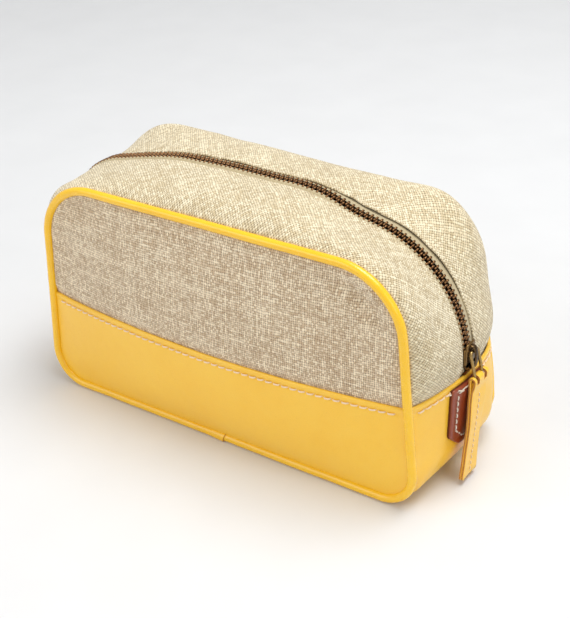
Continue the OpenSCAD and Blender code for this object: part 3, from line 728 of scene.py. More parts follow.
# ---------------------------------------------------------------- piping
def build_piping(side):
    s = -1.0 if side == 0 else 1.0
    tag = "front" if side == 0 else "back"
    n = 520
    sv = np.linspace(0, 2 * S5, n, endpoint=False)
    x, z, nx, nz = seam(sv, back_in(sv) if side else 0.0)
    wob = 0.12 * noise(x, z, s * 3, 16, 41)
    yy = s * YP + 0.2 * noise(x, z, s * 7, 22, 42)
    C = np.stack([x + nx * wob, np.broadcast_to(yy, x.shape), z + nz * wob + ZF], -1)
    bottom = nz < -0.99
    C[bottom, 2] = np.maximum(C[bottom, 2], ZF)
    up = np.stack([nx, 0 * x, nz], -1)
    sides = 20
    a = np.arange(sides) * 2 * PI / sides
    # small puckers on the inner bend of the corners, towards the top strip
    corner = ((np.abs(np.mod(sv + S5, 2 * S5) - S5) > S1) & (np.abs(np.mod(sv + S5, 2 * S5) - S5) < S2 + 6)).astype(float)
    corner = np.convolve(np.concatenate([corner[-8:], corner, corner[:8]]), np.ones(17) / 17, "valid")
    puck = 0.05 * np.sin(sv / 1.9)[:, None] * (0.5 + 0.5 * np.cos(a - PI / 2 * s))[None] * corner[:, None]
    rad = 2.36 + puck + 0.035 * noise(x[:, None], a[None] * 2, z[:, None] + 9 * s, 5, 43)
    V, F = tube(C, up, rad, sides, closed=True)
    make(tag + "_piping_tube", V, F, M_PIPE, nodes=(tag + "_piping",))
    V, F = tube(C[::2], up[::2], 1.4, 10, closed=True)
    make(tag + "_piping_filler", V, F, M_CORD, nodes=(tag + "_piping_cord",), flat=np.repeat(np.stack([sv[::2], 0 * sv[::2], 0 * sv[::2]], 1), 10, 0))
    # the piping's free end laps over its start, on the bottom
    xe = 3.0
    xs = np.concatenate([[xe, xe, xe - 0.08, xe - 0.25], np.linspace(xe - 0.6, xe - 13, 22)])
    th = np.concatenate([[-0.02, 0.35, 0.5, 0.56], 0.58 * (1 - ease(np.linspace(0, 1, 22)) ** 1.0) + 0.0])
    C = np.stack([xs, np.full(len(xs), s * YP), np.full(len(xs), ZF)], -1)
    C[:, 0] += 0
    a20 = np.arange(28) * 2 * PI / 28
    slant = np.zeros((len(xs), 28))
    radl = (2.36 + th)[:, None] + slant
    V, F = tube(C, np.tile([0, 0, -1.0], (len(xs), 1)), radl, 28)
    V = V.reshape(len(xs), 28, 3)
    V[..., 0] += (V[..., 2] - ZF)[...] * 0.25 * (xs > xe - 1)[:, None]
    V[..., 2] = np.maximum(V[..., 2], 0.0)
    V = V.reshape(-1, 3)
    mi = [0] * len(F)
    for k in range(28 * 2):
        mi[k] = 1
    make(tag + "_piping_lap", V, F, [M_PIPE, M_RAW], mat_index=mi)


build_piping(0)
build_piping(1)


# ---------------------------------------------------------------- top strips and zip
KN = [-1.0, -0.9, -0.78, -0.66, -0.54, -0.4, -0.2, 0.0, 0.2, 0.4, 0.54, 0.66, 0.78, 0.9, 1.0]
AF = [0.0, 4.9, 4.8, 5.9, 2.4, 3.6, 4.1, 4.4, 4.6, 4.7, 4.8, 4.9, 4.9, 4.9, 0.0]
AB = [0.0, 8.0, 8.6, 9.4, 11.7, 11.2, 7.9, 6.5, 6.1, 8.3, 11.5, 8.9, 5.3, 4.3, 0.0]


def gsurf(k, y, off, side):
    """Point on the cloth between the piping and the zip. k from -1 (left leather edge) to 1."""
    k, y = np.broadcast_arrays(np.asarray(k, float), np.asarray(y, float))
    sv = np.clip(k, -1.06, 1.06) * SHL
    ax, az, anx, anz = seam(sv, off + (back_in(sv) if side else 0.0))
    path = kq(k)
    bx, bz, bnx, bnz = zipp(path, off)
    f = prof(y)
    v = np.clip((np.abs(y) - 4) / (YP - 4), 0, 1)
    kk = np.abs(k)
    pw = 1.2 + 1.6 * gauss(k + 0.66, 0.16)
    w = table(k, KN, AB if side else AF) * v ** pw * (1 - v ** 7) * 1.45
    # cloth waves: long soft ones, and short puckers drawn in by the zip's seam
    w = w + (0.6 * noise(path, y, side * 50, 26, 51) + 0.3 * noise(path, y, side * 50, 11, 52)) * ease((1 - v) * 3.5) * ease((v) * 4 + 0.15)
    puck = noise(path, side * 9.0, 0, 6.5, 53) * 0.35 * gauss(np.abs(y) - 8, 5)
    w = w + puck * ease((np.abs(y) - 4) / 3)
    # groove where the strip's seam to the tape lies
    w = w - 0.28 * gauss(np.abs(y) - 9.0, 1.0)
    # at the leather's edge the end's own roundness takes over
    if side:
        w = w + ease((kk - 0.8) / 0.2) * END_B * (1 - (np.abs(y) / YP) ** 3.0 - f)
    x = ax * (1 - f) + bx * f + anx * w
    z = az * (1 - f) + bz * f + anz * w
    return x, z


def build_gusset(side, fold):
    s = -1.0 if side == 0 else 1.0
    tag = "front" if side == 0 else "back"
    n = 520
    k = np.linspace(-1.035, 1.035, n)
    dy = np.concatenate([[0, 0.03, 0.1, 0.22, 0.4, 0.62, 0.9, 1.3, 1.8, 2.4, 3.0, 3.6, 4.2, 4.8, 5.4, 6.2, 7.2], np.linspace(8.4, YP - 0.9 - fold, 22)])
    ya = fold + dy
    K, Y = np.meshgrid(k, s * ya, indexing="ij")
    X, Z = gsurf(K, Y, 0.0, side)
    # the cloth dips under the leather at both ends
    _, zz, _, _ = zipp(kq(K))
    tuck = 1.5 * (1 - ease((zz - HL + 0.5) / 6.0))
    # fold edge lies on the tape, wavering a little
    wave = 0.22 * noise(kq(K), side * 30.0, 0, 9, 61) * gauss(np.abs(Y) - fold, 4)
    P = np.stack([X, Y + s * wave, Z + ZF], -1)
    N = normals(P) * (1 if side == 0 else -1)
    flip = np.sign((N[n // 2, 5, 2]))
    N = N * flip
    P = P - N * tuck[..., None]
    V, F = shell(P, 0.9, 1.0, e=np.broadcast_to(dy[None], K.shape), r=0.6, N=N)
    flat = np.stack([kq(K), np.abs(Y) + side * 200, 0 * K], -1).reshape(-1, 3)
    make("top_strip_" + tag, V, F, M_LINEN_TOP, nodes=("gusset_" + tag + "_linen",), flat=np.tile(flat, (2, 1)))
    # lining below it
    k = np.linspace(-0.99, 0.99, 160)
    ya = np.linspace(9.0, YP - 7, 14)
    K, Y = np.meshgrid(k, s * ya, indexing="ij")
    X, Z = gsurf(K, Y, -3.4, side)
    P = np.stack([X, Y, Z + ZF], -1)
    V, F = shell(P, 0.5, flip * (1 if side == 0 else -1))
    flat = np.stack([kq(K), np.abs(Y), 0 * K], -1).reshape(-1, 3)
    make("lining_top_" + tag + "_cloth", V, F, M_LINING, nodes=("lining_top_" + tag,), flat=np.tile(flat, (2, 1)))


FOLD_F, FOLD_B = 5.05, 6.6
build_gusset(0, FOLD_F)
build_gusset(1, FOLD_B)


def proud(q):
    """The chain stands up out of the folds along the top and left; the slider's own arc stays as it is."""
    return 1.35 * (1 - ease((np.asarray(q, float) - 34) / 26))


def build_tape(side):
    s = -1.0 if side == 0 else 1.0
    tag = "front" if side == 0 else "back"
    k = np.linspace(-1, 1, 300)
    q = np.where(k < 0, k * (QHLL + 4), k * (QHL + 4))
    ya = np.array([2.45, 2.6, 2.9, 3.2, 3.6, 4.2, 5.0, 6.0, 7.5, 9.0, 11.0])
    Q, Y = np.meshgrid(q, s * ya, indexing="ij")
    _, zz, _, _ = zipp(Q)
    dip = -1.7 * (1 - ease((zz - HL + 1) / 4.0))
    sag = -(1 - prof(Y)) * 6.0 - 0.3 * ease((np.abs(Y) - 4.0) / 2.5)
    bead = 0.3 * gauss(np.abs(Y) - 2.9, 0.5)
    x, z, nx, nz = zipp(Q, -CH + 0.35 + proud(Q) * (1 - ease((np.abs(Y) - 3.5) / 1.5)))
    P = np.stack([x + nx * (dip + sag + bead), Y, z + nz * (dip + sag + bead) + ZF], -1)
    N = normals(P) * (1 if side == 0 else -1)
    N = N * np.sign(N[150, 5, 2])
    V, F = shell(P, 0.6, 1.0, N=N)
    flat = np.stack([Q, np.abs(Y), 0 * Q], -1).reshape(-1, 3)
    make("zip_tape_" + tag + "_cloth", V, F, M_TAPE, nodes=("zip_tape_" + tag,), flat=np.tile(flat, (2, 1)))


build_tape(0)
build_tape(1)


def build_teeth(side):
    s = -1.0 if side == 0 else 1.0
    tag = "front" if side == 0 else "back"
    pitch = 2.8
    n = int((QHL - 2) // pitch)
    nl = int((QHLL - 2) // pitch)
    # one tooth: cross sections along its length, from the tip in the chain out to the ends of its legs
    sec = [(0.74, 0.20, 0.55), (0.70, 0.36, 0.82), (0.52, 0.50, 1.02), (0.2, 0.55, 1.14), (-0.5, 0.57, 1.18), (-0.95, 0.55, 1.14), (-1.15, 0.46, 0.98), (-1.45, 0.46, 0.98), (-1.75, 0.62, 1.14), (-2.9, 0.64, 1.1), (-3.4, 0.6, 0.95), (-3.62, 0.4, 0.6)]
    ring8 = [(1, 0.45), (0.6, 1), (-0.6, 1), (-1, 0.45), (-1, -0.45), (-0.6, -1), (0.6, -1), (1, -0.45)]
    T = np.array([[(-s) * a if False else a, l * b, t * c] for (a, l, t) in sec for (b, c) in ring8])
    Fb = []
    for i in range(len(sec) - 1):
        for j in range(8):
            j2 = (j + 1) % 8
            Fb.append([i * 8 + j, i * 8 + j2, (i + 1) * 8 + j2, (i + 1) * 8 + j])
    Fb.append(list(range(8))[::-1])
    Fb.append([(len(sec) - 1) * 8 + j for j in range(8)])
    Vs, Fs = [], []
    for i in range(-nl, n):
        q = (i + (0.5 if side else 0.0)) * pitch
        x, z, nx, nz = (float(v) for v in zipp(q, -CH + float(proud(q))))
        o = np.array([x, 0, z + ZF])
        nr = np.array([nx, 0, nz])
        al = np.array([nz, 0, -nx])
        jit = (rng.random(3) - 0.5) * np.array([0.05, 0.04, 0.06])
        tilt = (rng.random() - 0.5) * 0.05
        across = np.array([0, -s, 0.0])
        # a points across the chain: tip side is towards the other row
        W = o + across * (T[:, :1] + jit[0]) + al * (T[:, 1:2] + jit[1] + tilt * T[:, :1]) + nr * (T[:, 2:3] + jit[2])
        Fs += [[j + len(Vs) * len(T) for j in f] for f in Fb]
        Vs.append(W)
    make("zip_teeth_" + tag + "_row", np.concatenate(Vs), Fs, M_TEETH, nodes=("zip_teeth_" + tag,))


build_teeth(0)
build_teeth(1)


# ---------------------------------------------------------------- leather base with its two ends
def bend(sv):
    t = np.clip((sv - SHL) / (S4 - SHL), 0, 1)
    return ZF + (END_B - ZF) * (1 - t) ** 1.15


def bprof(y, sv):
    t = ease((sv - S3 + 4) / (S4 - S3))
    fl = 1 - ease((np.abs(y) - YP + 9) / 7)
    full = 1 - (np.clip(np.abs(y), 0, YP) / YP) ** (3 + 4 * ease((sv - SHL) / 25))
    up = np.where(np.asarray(y) > 0, full, prof(y))
    return up * (1 - t) + fl * t


def base_pt(sa, y, off=0.0, right=True):
    """sa is arc length along the seam path, from SHL (leather edge) to S5 (bottom middle)."""
    x, z, nx, nz = seam(sa)
    b = bend(sa) * bprof(y, sa) + off + back_in(sa if right else -np.asarray(sa, float)) * ease((np.asarray(y, float) - 30) / 13)
    soft = ease((S4 - sa) / 25)
    b = b + soft * (0.45 * noise(sa * (1 if right else -1), y, 5.0, 24, 71) + 0.15 * noise(sa * (1 if right else -1), y, 9.0, 10, 72)) * ease((YP - np.abs(y)) / 8)
    px = x + nx * b
    return (px if right else -px), z + nz * b + ZF


def build_base():
    halves = []
    e0 = np.concatenate([[0, 0.02, 0.08, 0.18, 0.32, 0.5, 0.7, 0.95, 1.2], np.arange(1.6, 7, 0.42)])
    sa = np.concatenate([SHL + e0, np.linspace(SHL + 7.6, S3, 22), np.linspace(S3, S4, 30)[1:], np.linspace(S4, S5, 40)[1:]])
    ya = np.concatenate([np.linspace(-(YP - 0.9), -(YP - 12), 16), np.linspace(-(YP - 12), YP - 12, 60)[1:-1], np.linspace(YP - 12, YP - 0.9, 16)])
    S, Y = np.meshgrid(sa, ya, indexing="ij")
    grids = []
    for right in (True, False):
        d = stitch_dent(Y, S - SHL, 4.0, 0.0) + 0.3 * (1 - ease((S - SHL - 1.6) / 2.0))
        d = d * ease((YP - 1 - np.abs(Y)) / 3)
        x, z = base_pt(S, Y, d, right)
        grids.append(np.stack([x, Y, z], -1))
    P = np.concatenate([grids[0], grids[1][::-1][1:]], 0)
    P[..., 2] = np.maximum(P[..., 2], 0.0)
    E = np.concatenate([S - SHL, (S - SHL)[::-1][1:]], 0)
    N = normals(P)
    N = N * -np.sign(N[len(N) // 2, 40, 2])
    V, F = shell(P, 1.2, 1.0, e=E, r=1.0, N=N)
    L = np.concatenate([S, (2 * S5 - S)[::-1][1:]], 0)
    Yf = np.concatenate([Y, Y[::-1][1:]], 0)
    flat = np.stack([L, Yf, 0 * L], -1).reshape(-1, 3)
    make("base_wrap", V, F, M_LEATHER, nodes=("base_leather",), flat=np.tile(flat, (2, 1)))
    # lining of the bottom and ends
    sa = np.linspace(SHL + 1, S5, 90)
    ya = np.linspace(-(YP - 7), YP - 7, 24)
    S, Y = np.meshgrid(sa, ya, indexing="ij")
    grids = []
    for right in (True, False):
        x, z, nx, nz = seam(S)
        b = bend(S) * bprof(Y, S) - 4.4
        px = x + nx * b
        grids.append(np.stack([px if right else -px, Y, z + nz * b + ZF], -1))
    P = np.concatenate([grids[0], grids[1][::-1][1:]], 0)
    N = normals(P)
    N = N * -np.sign(N[len(N) // 2, 12, 2])
    V, F = shell(P, 0.5, 1.0, N=N)
    L = np.concatenate([S, (2 * S5 - S)[::-1][1:]], 0)
    Yf = np.concatenate([Y, Y[::-1][1:]], 0)
    flat = np.stack([L, Yf, 0 * L], -1).reshape(-1, 3)
    make("lining_base_cloth", V, F, M_LINING, nodes=("lining_base",), flat=np.tile(flat, (2, 1)))


build_base()


def end_frame(y, sa, off, right=True):
    """Point off above the end's leather, and the outward normal."""
    h = 0.5
    def p(yy, ss):
        x, z = base_pt(np.asarray(ss, float), np.asarray(yy, float), 0.0, right)
        return np.stack([x, np.asarray(yy, float) + 0 * x, z], -1)
    c = p(y, sa)
    a = p(y + h, sa) - p(y - h, sa)
    b = p(y, sa + h) - p(y, sa - h)
    n = np.cross(a, b)
    n = n / np.linalg.norm(n, axis=-1, keepdims=True)
    n = n * np.sign(n[..., :1]) * (1 if right else -1)
    return c + n * np.asarray(off)[..., None], n


# stitching along both ends' edges, interrupted by the tabs
TAB_W = 14.8
segs = []
for right in (True, False):
    for i in range(-9, 9):
        y0, y1 = i * PITCH + 0.5, (i + 1) * PITCH - 0.5
        if max(abs(y0), abs(y1)) > YP - 2.5 or min(abs(y0), abs(y1)) < TAB_W - 0.5:
            continue
        p, n0 = end_frame(y0, SHL + 4.15, -0.12, right)
        q, _ = end_frame(y1, SHL + 3.85, -0.12, right)
        segs.append((p, q, n0))
stitches("end_edge_stitching", segs, "bag", ("side_stitches",), M_THREAD, rad=0.4, lift=0.5)


# ---------------------------------------------------------------- brown end tabs
def tab_outline(m=132):
    """(y, distance below the leather's edge) round the tab, corners softened."""
    top, low = 2.6, 37.4
    pts = [(-TAB_W, top), (-TAB_W, low - 8.3), (-4.8, low), (4.8, low), (TAB_W, low - 8.3), (TAB_W, top)]
    rad = [0.8, 2.2, 2.5, 2.5, 2.2, 0.8]
    out = []
    k = len(pts)
    for i in range(k):
        p, a, b = np.array(pts[i]), np.array(pts[i - 1]), np.array(pts[(i + 1) % k])
        ua, ub = (a - p) / np.linalg.norm(a - p), (b - p) / np.linalg.norm(b - p)
        for t in np.linspace(0, 1, 7):
            A, B = p + ua * rad[i], p + ub * rad[i]
            out.append((1 - t) ** 2 * A + 2 * t * (1 - t) * p + t * t * B)
    out = np.array(out)
    seg = np.linalg.norm(np.roll(out, -1, 0) - out, axis=1)
    cum = np.concatenate([[0], np.cumsum(seg)])
    closed = np.vstack([out, out[:1]])
    t = np.linspace(0, cum[-1], m, endpoint=False)
    return np.stack([np.interp(t, cum, closed[:, 0]), np.interp(t, cum, closed[:, 1])], 1)


def lean(d):
    """The tabs hang a little towards the front."""
    return -3.0 * np.asarray(d, float) / 37


def build_tab(right):
    tag = "right" if right else "left"
    O = tab_outline()
    C = np.array([0.0, 17.0])
    T = 2.2
    rings = [(0.0, -0.5), (0.0, 0.5), (0.0, 1.2), (0.004, 1.62), (0.016, 1.95), (0.04, 2.14), (0.075, 2.2), (0.12, 2.2), (0.17, 2.2), (0.21, 2.2), (0.25, 2.2), (0.29, 2.2), (0.33, 2.2), (0.37, 2.2), (0.42, 2.2), (0.5, 2.2), (0.6, 2.2), (0.72, 2.2), (0.86, 2.2)]
    V, flat = [], []
    for f, h in rings:
        R = C + (O - C) * (1 - f)
        hh = np.full(len(R), h)
        if h > 2.1:
            # pressed in along its seam, padded between
            dist = TAB_W - np.abs(R[:, 0])
            low = 37.4 - R[:, 1]
            dd = np.minimum(dist, np.minimum(low, (low + (TAB_W - np.abs(R[:, 0])) * 0.85 - 4.0)))
            hh = hh - 0.32 * gauss(dd - 4.6, 1.0) * (R[:, 1] > 6) + 0.18 * ease((dd - 5.5) / 3)
            hh = hh + 0.12 * noise(R[:, 0], R[:, 1], 3.0 if right else 8.0, 5, 81)
        P, _ = end_frame(R[:, 0] + lean(R[:, 1]), SHL + R[:, 1], hh, right)
        V.append(P)
        flat.append(np.stack([R[:, 0], R[:, 1], 0 * R[:, 0]], 1))
    m = len(O)
    F = []
    for i in range(len(rings) - 1):
        for j in range(m):
            j2 = (j + 1) % m
            F.append([i * m + j, i * m + j2, (i + 1) * m + j2, (i + 1) * m + j])
    mi = [1 if k < 2 * m else 0 for k in range(len(F))]
    c, _ = end_frame(C[0] + lean(C[1]), SHL + C[1], 2.35, right)
    V.append(c.reshape(1, 3))
    flat.append(np.zeros((1, 3)))
    last = len(rings) * m
    for j in range(m):
        F.append([(len(rings) - 1) * m + j, (len(rings) - 1) * m + (j + 1) % m, last])
        mi.append(0)
    b, _ = end_frame(C[0] + lean(C[1]), SHL + C[1], -0.5, right)
    V.append(b.reshape(1, 3))
    flat.append(np.zeros((1, 3)))
    for j in range(m):
        F.append([(j + 1) % m, j, last + 1])
        mi.append(1)
    make("end_tab_" + tag + "_leather", np.concatenate(V), F, [M_BROWN, M_RAWB], nodes=("end_tab_" + tag,), flat=np.concatenate(flat), mat_index=mi)
    # its U of white stitching, and the edge line carried across its top as a bar tack
    segs = []
    path = [(-TAB_W + 4.6, 6.5), (-TAB_W + 4.6, 26.6), (-3.2, 33.0), (3.2, 33.0), (TAB_W - 4.6, 26.6), (TAB_W - 4.6, 6.5)]
    for (a, b) in zip(path[:-1], path[1:]):
        a, b = np.array(a), np.array(b)
        L = np.linalg.norm(b - a)
        k = max(1, int(round(L / 3.4)))
        for i in range(k):
            p = a + (b - a) * ((i + 0.14) / k)
            q = a + (b - a) * ((i + 0.86) / k)
            segs.append((p, q))
    out = []
    for p, q in segs:
        P, n0 = end_frame(p[0] + lean(p[1]), SHL + p[1], 1.82, right)
        Q, _ = end_frame(q[0] + lean(q[1]), SHL + q[1], 1.82, right)
        out.append((P, Q, n0))
    for (a, b, l) in [((-TAB_W - 1.6, 4.9), (-TAB_W + 4.4, 3.9), 2.0), ((-TAB_W + 4.0, 5.4), (-TAB_W + 8.6, 4.2), 2.2), ((-TAB_W + 3.4, 3.4), (-TAB_W + 8.2, 5.6), 2.3), ((-TAB_W + 8.2, 4.4), (-TAB_W + 12.4, 3.9), 2.2),
                      ((-1.8, 4.2), (1.8, 3.9), 2.2), ((TAB_W + 1.6, 4.1), (TAB_W - 4.4, 4.1), 2.0), ((TAB_W - 4.0, 4.8), (TAB_W - 8.6, 3.8), 2.2), ((TAB_W - 3.4, 3.2), (TAB_W - 8.2, 5.0), 2.3)]:
        P, n0 = end_frame(a[0], SHL + a[1], l if abs(a[0]) < TAB_W else 0.1, right)
        Q, _ = end_frame(b[0], SHL + b[1], l, right)
        out.append((P, Q, n0))
    stitches("tab_" + tag + "_stitching", out, "bag", ("tab_" + tag + "_stitches",), M_THREADW, rad=0.38)


build_tab(True)
build_tab(False)

# ---------------------------------------------------------------- slider, its ring and the leather pull
(_sl, _sh) = nbox("zip_slider")
SX = ZXC + ZRC - CH
SZ = (_sl[2] + _sh[2]) / 2
SLEN = _sh[2] - _sl[2]


def extrude_x(poly, x0, x1, inset=0.35):
    """Plate from a (y, z) outline between x0 and x1 with rounded rims."""
    poly = np.array(poly, float)
    c = poly.mean(0)
    def grow(d):
        # inward offset of a convex outline
        nxt, prv = np.roll(poly, -1, 0), np.roll(poly, 1, 0)
        e1 = poly - prv
        e2 = nxt - poly
        n1 = np.stack([e1[:, 1], -e1[:, 0]], 1) / np.linalg.norm(e1, axis=1, keepdims=True)
        n2 = np.stack([e2[:, 1], -e2[:, 0]], 1) / np.linalg.norm(e2, axis=1, keepdims=True)
        nn = n1 + n2
        nn /= np.linalg.norm(nn, axis=1, keepdims=True)
        k = 1 / np.maximum((nn * n1).sum(1), 0.5)
        sgn = -1 if ((poly + nn * 0.01 - c) ** 2).sum() > ((poly - c) ** 2).sum() else 1
        return poly + nn * (sgn * d * k)[:, None]
    V, F = [], []
    lv = [(x0, inset), (x0 + inset * 0.3, inset * 0.3), (x0 + inset, 0), (x1 - inset, 0), (x1 - inset * 0.3, inset * 0.3), (x1, inset)]
    m = len(poly)
    for x, d in lv:
        g = grow(d)
        V += [[x, y, z] for y, z in g]
    for i in range(len(lv) - 1):
        for j in range(m):
            j2 = (j + 1) % m
            F.append([i * m + j, i * m + j2, (i + 1) * m + j2, (i + 1) * m + j])
    F.append(list(range(m))[::-1])
    F.append([(len(lv) - 1) * m + j for j in range(m)])
    return np.array(V), F


def smooth_outline(pts, rads, k=5):
    pts = [np.array(p, float) for p in pts]
    out = []
    for i, p in enumerate(pts):
        a, b = pts[i - 1], pts[(i + 1) % len(pts)]
        ua, ub = (a - p) / np.linalg.norm(a - p), (b - p) / np.linalg.norm(b - p)
        r = rads[i] if isinstance(rads, (list, tuple)) else rads
        for t in np.linspace(0, 1, k):
            A, B = p + ua * r, p + ub * r
            out.append((1 - t) ** 2 * A + 2 * t * (1 - t) * p + t * t * B)
    return np.array(out)


def join(parts):
    V, F, off = [], [], 0
    for v, f in parts:
        V.append(np.asarray(v, float))
        F += [[int(i) + off for i in g] for g in f]
        off += len(v)
    return np.concatenate(V), F


def build_slider():
    L, W = SLEN, 9.7
    plate = smooth_outline([(-W / 2 + 1.0, L / 2), (W / 2 - 1.0, L / 2), (W / 2 - 0.5, L / 2 - 3), (W / 2, -L / 6), (W / 2, -L / 2 + 2.6), (W / 2 - 2.2, -L / 2), (-W / 2 + 2.2, -L / 2), (-W / 2, -L / 2 + 2.6), (-W / 2, -L / 6), (-W / 2 + 0.5, L / 2 - 3)], [1.1, 1.1, 0.9, 1.5, 1.2, 1.2, 1.2, 1.2, 1.5, 0.9])
    parts = [extrude_x(plate, 1.5, 2.75, 0.42), extrude_x(plate * np.array([0.98, 0.98]), -3.5, -2.3, 0.35)]
    # turned-in side lips
    for sy in (-1, 1):
        lip = smooth_outline([(sy * (W / 2 - 1.05), L / 2 - 2.6), (sy * (W / 2 - 0.15), L / 2 - 2.8), (sy * (W / 2 - 0.02), -L / 6), (sy * (W / 2 - 0.02), -L / 2 + 2.9), (sy * (W / 2 - 1.0), -L / 2 + 2.9)], 0.25, 3)
        parts.append(extrude_x(lip, 0.95, 1.9, 0.15))
        parts.append(extrude_x(lip, -2.5, -1.75, 0.12))
    post = smooth_outline([(0, -L / 2 + 0.3), (1.15, -L / 2 + 2.3), (0, -L / 2 + 4.6), (-1.15, -L / 2 + 2.3)], 0.3, 3)
    parts.append(extrude_x(post, -2.5, 1.9, 0.05))
    V, F = join(parts)
    ob = make("slider_body", V + [SX, 0, SZ], F, M_SLIDER, "slider", ("zip_slider",))
    # the bridge: an arched strap, thicker at its feet
    t = np.linspace(0, 1, 26)
    ang = PI * t
    bz = 6.1 * np.cos(ang)
    bx = 2.55 + 3.1 * np.sin(ang) ** 0.55
    C = np.stack([SX + bx, 0 * t, SZ + bz], 1)
    nr = np.stack([np.sin(ang) * 1.0 + 0.15, 0 * t, np.cos(ang) * 0.9], 1)
    rad = np.full(len(t), 0.62)
    V, F = tube(C, nr, rad, 16, ry=1.0)
    # flatten to a strap about 3 mm wide with soft shoulders
    V = V.reshape(len(t), 16, 3)
    wid = 1.35 + 0.35 * np.abs(np.cos(ang)) ** 3
    for i in range(len(t)):
        off = V[i, :, 1] / 0.62
        V[i, :, 1] = np.sign(off) * np.abs(off) ** 0.55 * wid[i]
    make("slider_bridge", V.reshape(-1, 3), F, M_SLIDER, "slider", (), subsurf=1)
    return ob


build_slider()
# the ring: lies from the bridge down to the pull
RU = np.array([SX + 3.9, 0.3, SZ + 3.2])
RL = np.array([129.1, 1.5, HL + ZF - 0.6])
RLEN = float(np.hypot(RL[0] - RU[0], RL[2] - RU[2]))
RD = np.array([(RL[0] - RU[0]) / RLEN, 0, (RL[2] - RU[2]) / RLEN])
RO = np.array([-RD[2], 0, RD[0]])


def build_ring():
    w, r = 3.7, 1.9
    loop = smooth_outline([(w, 0), (w, RLEN), (-w, RLEN), (-w, 0)], r, 9)
    seg = np.linalg.norm(np.roll(loop, -1, 0) - loop, axis=1)
    cum = np.concatenate([[0], np.cumsum(seg)])
    cl = np.vstack([loop, loop[:1]])
    t = np.linspace(0, cum[-1], 96, endpoint=False)
    a, b = np.interp(t, cum, cl[:, 0]), np.interp(t, cum, cl[:, 1])
    C = RU + RD * b[:, None] + np.array([0, 1.0, 0]) * (a + (RL[1] - RU[1]) * b / RLEN)[:, None]
    C = C + RO * (0.25 * np.sin(b / RLEN * PI))[:, None]
    V, F = tube(C, np.tile(RO, (len(C), 1)), 0.86, 14, closed=True, ry=0.98)
    make("ring_wire", V, F, M_RING, "ring", ("pull_link",))


build_ring()


def slit(ob, yc):
    """Two short cuts in the fold let the ring's sides through."""
    V, F = [], []
    for sy in (-1, 1):
        k = len(V)
        c = np.array([RL[0], yc + sy * 3.7, RL[2] + 1.5])
        V += [c + [a, b, d] for a in (-4, 4) for b in (-1.25, 1.25) for d in (-3.6, 3.0)]
        F += [[k + i for i in f] for f in ((0, 1, 3, 2), (4, 6, 7, 5), (0, 4, 5, 1), (2, 3, 7, 6), (0, 2, 6, 4), (1, 5, 7, 3))]
    me = bpy.data.meshes.new("slit")
    me.from_pydata((np.array(V) * MM).tolist(), [], F)
    bm = bmesh.new()
    bm.from_mesh(me)
    bmesh.ops.recalc_face_normals(bm, faces=bm.faces)
    bm.to_mesh(me)
    bm.free()
    me.materials.append(M_RAW)
    cut = bpy.data.objects.new("slit", me)
    bpy.context.scene.collection.objects.link(cut)
    mo = ob.modifiers.new("Slit", "BOOLEAN")
    mo.operation, mo.object, mo.solver = "DIFFERENCE", cut, "EXACT"
    bpy.context.view_layer.update()
    ev = ob.evaluated_get(bpy.context.evaluated_depsgraph_get())
    new = bpy.data.meshes.new_from_object(ev)
    ob.modifiers.clear()
    old = ob.data
    n0 = len(old.polygons)
    if len(new.polygons) > n0 * 0.6:
        ob.data = new
        bpy.data.meshes.remove(old)
        new.name = ob.name
    bpy.data.objects.remove(cut)
    bpy.data.meshes.remove(me)


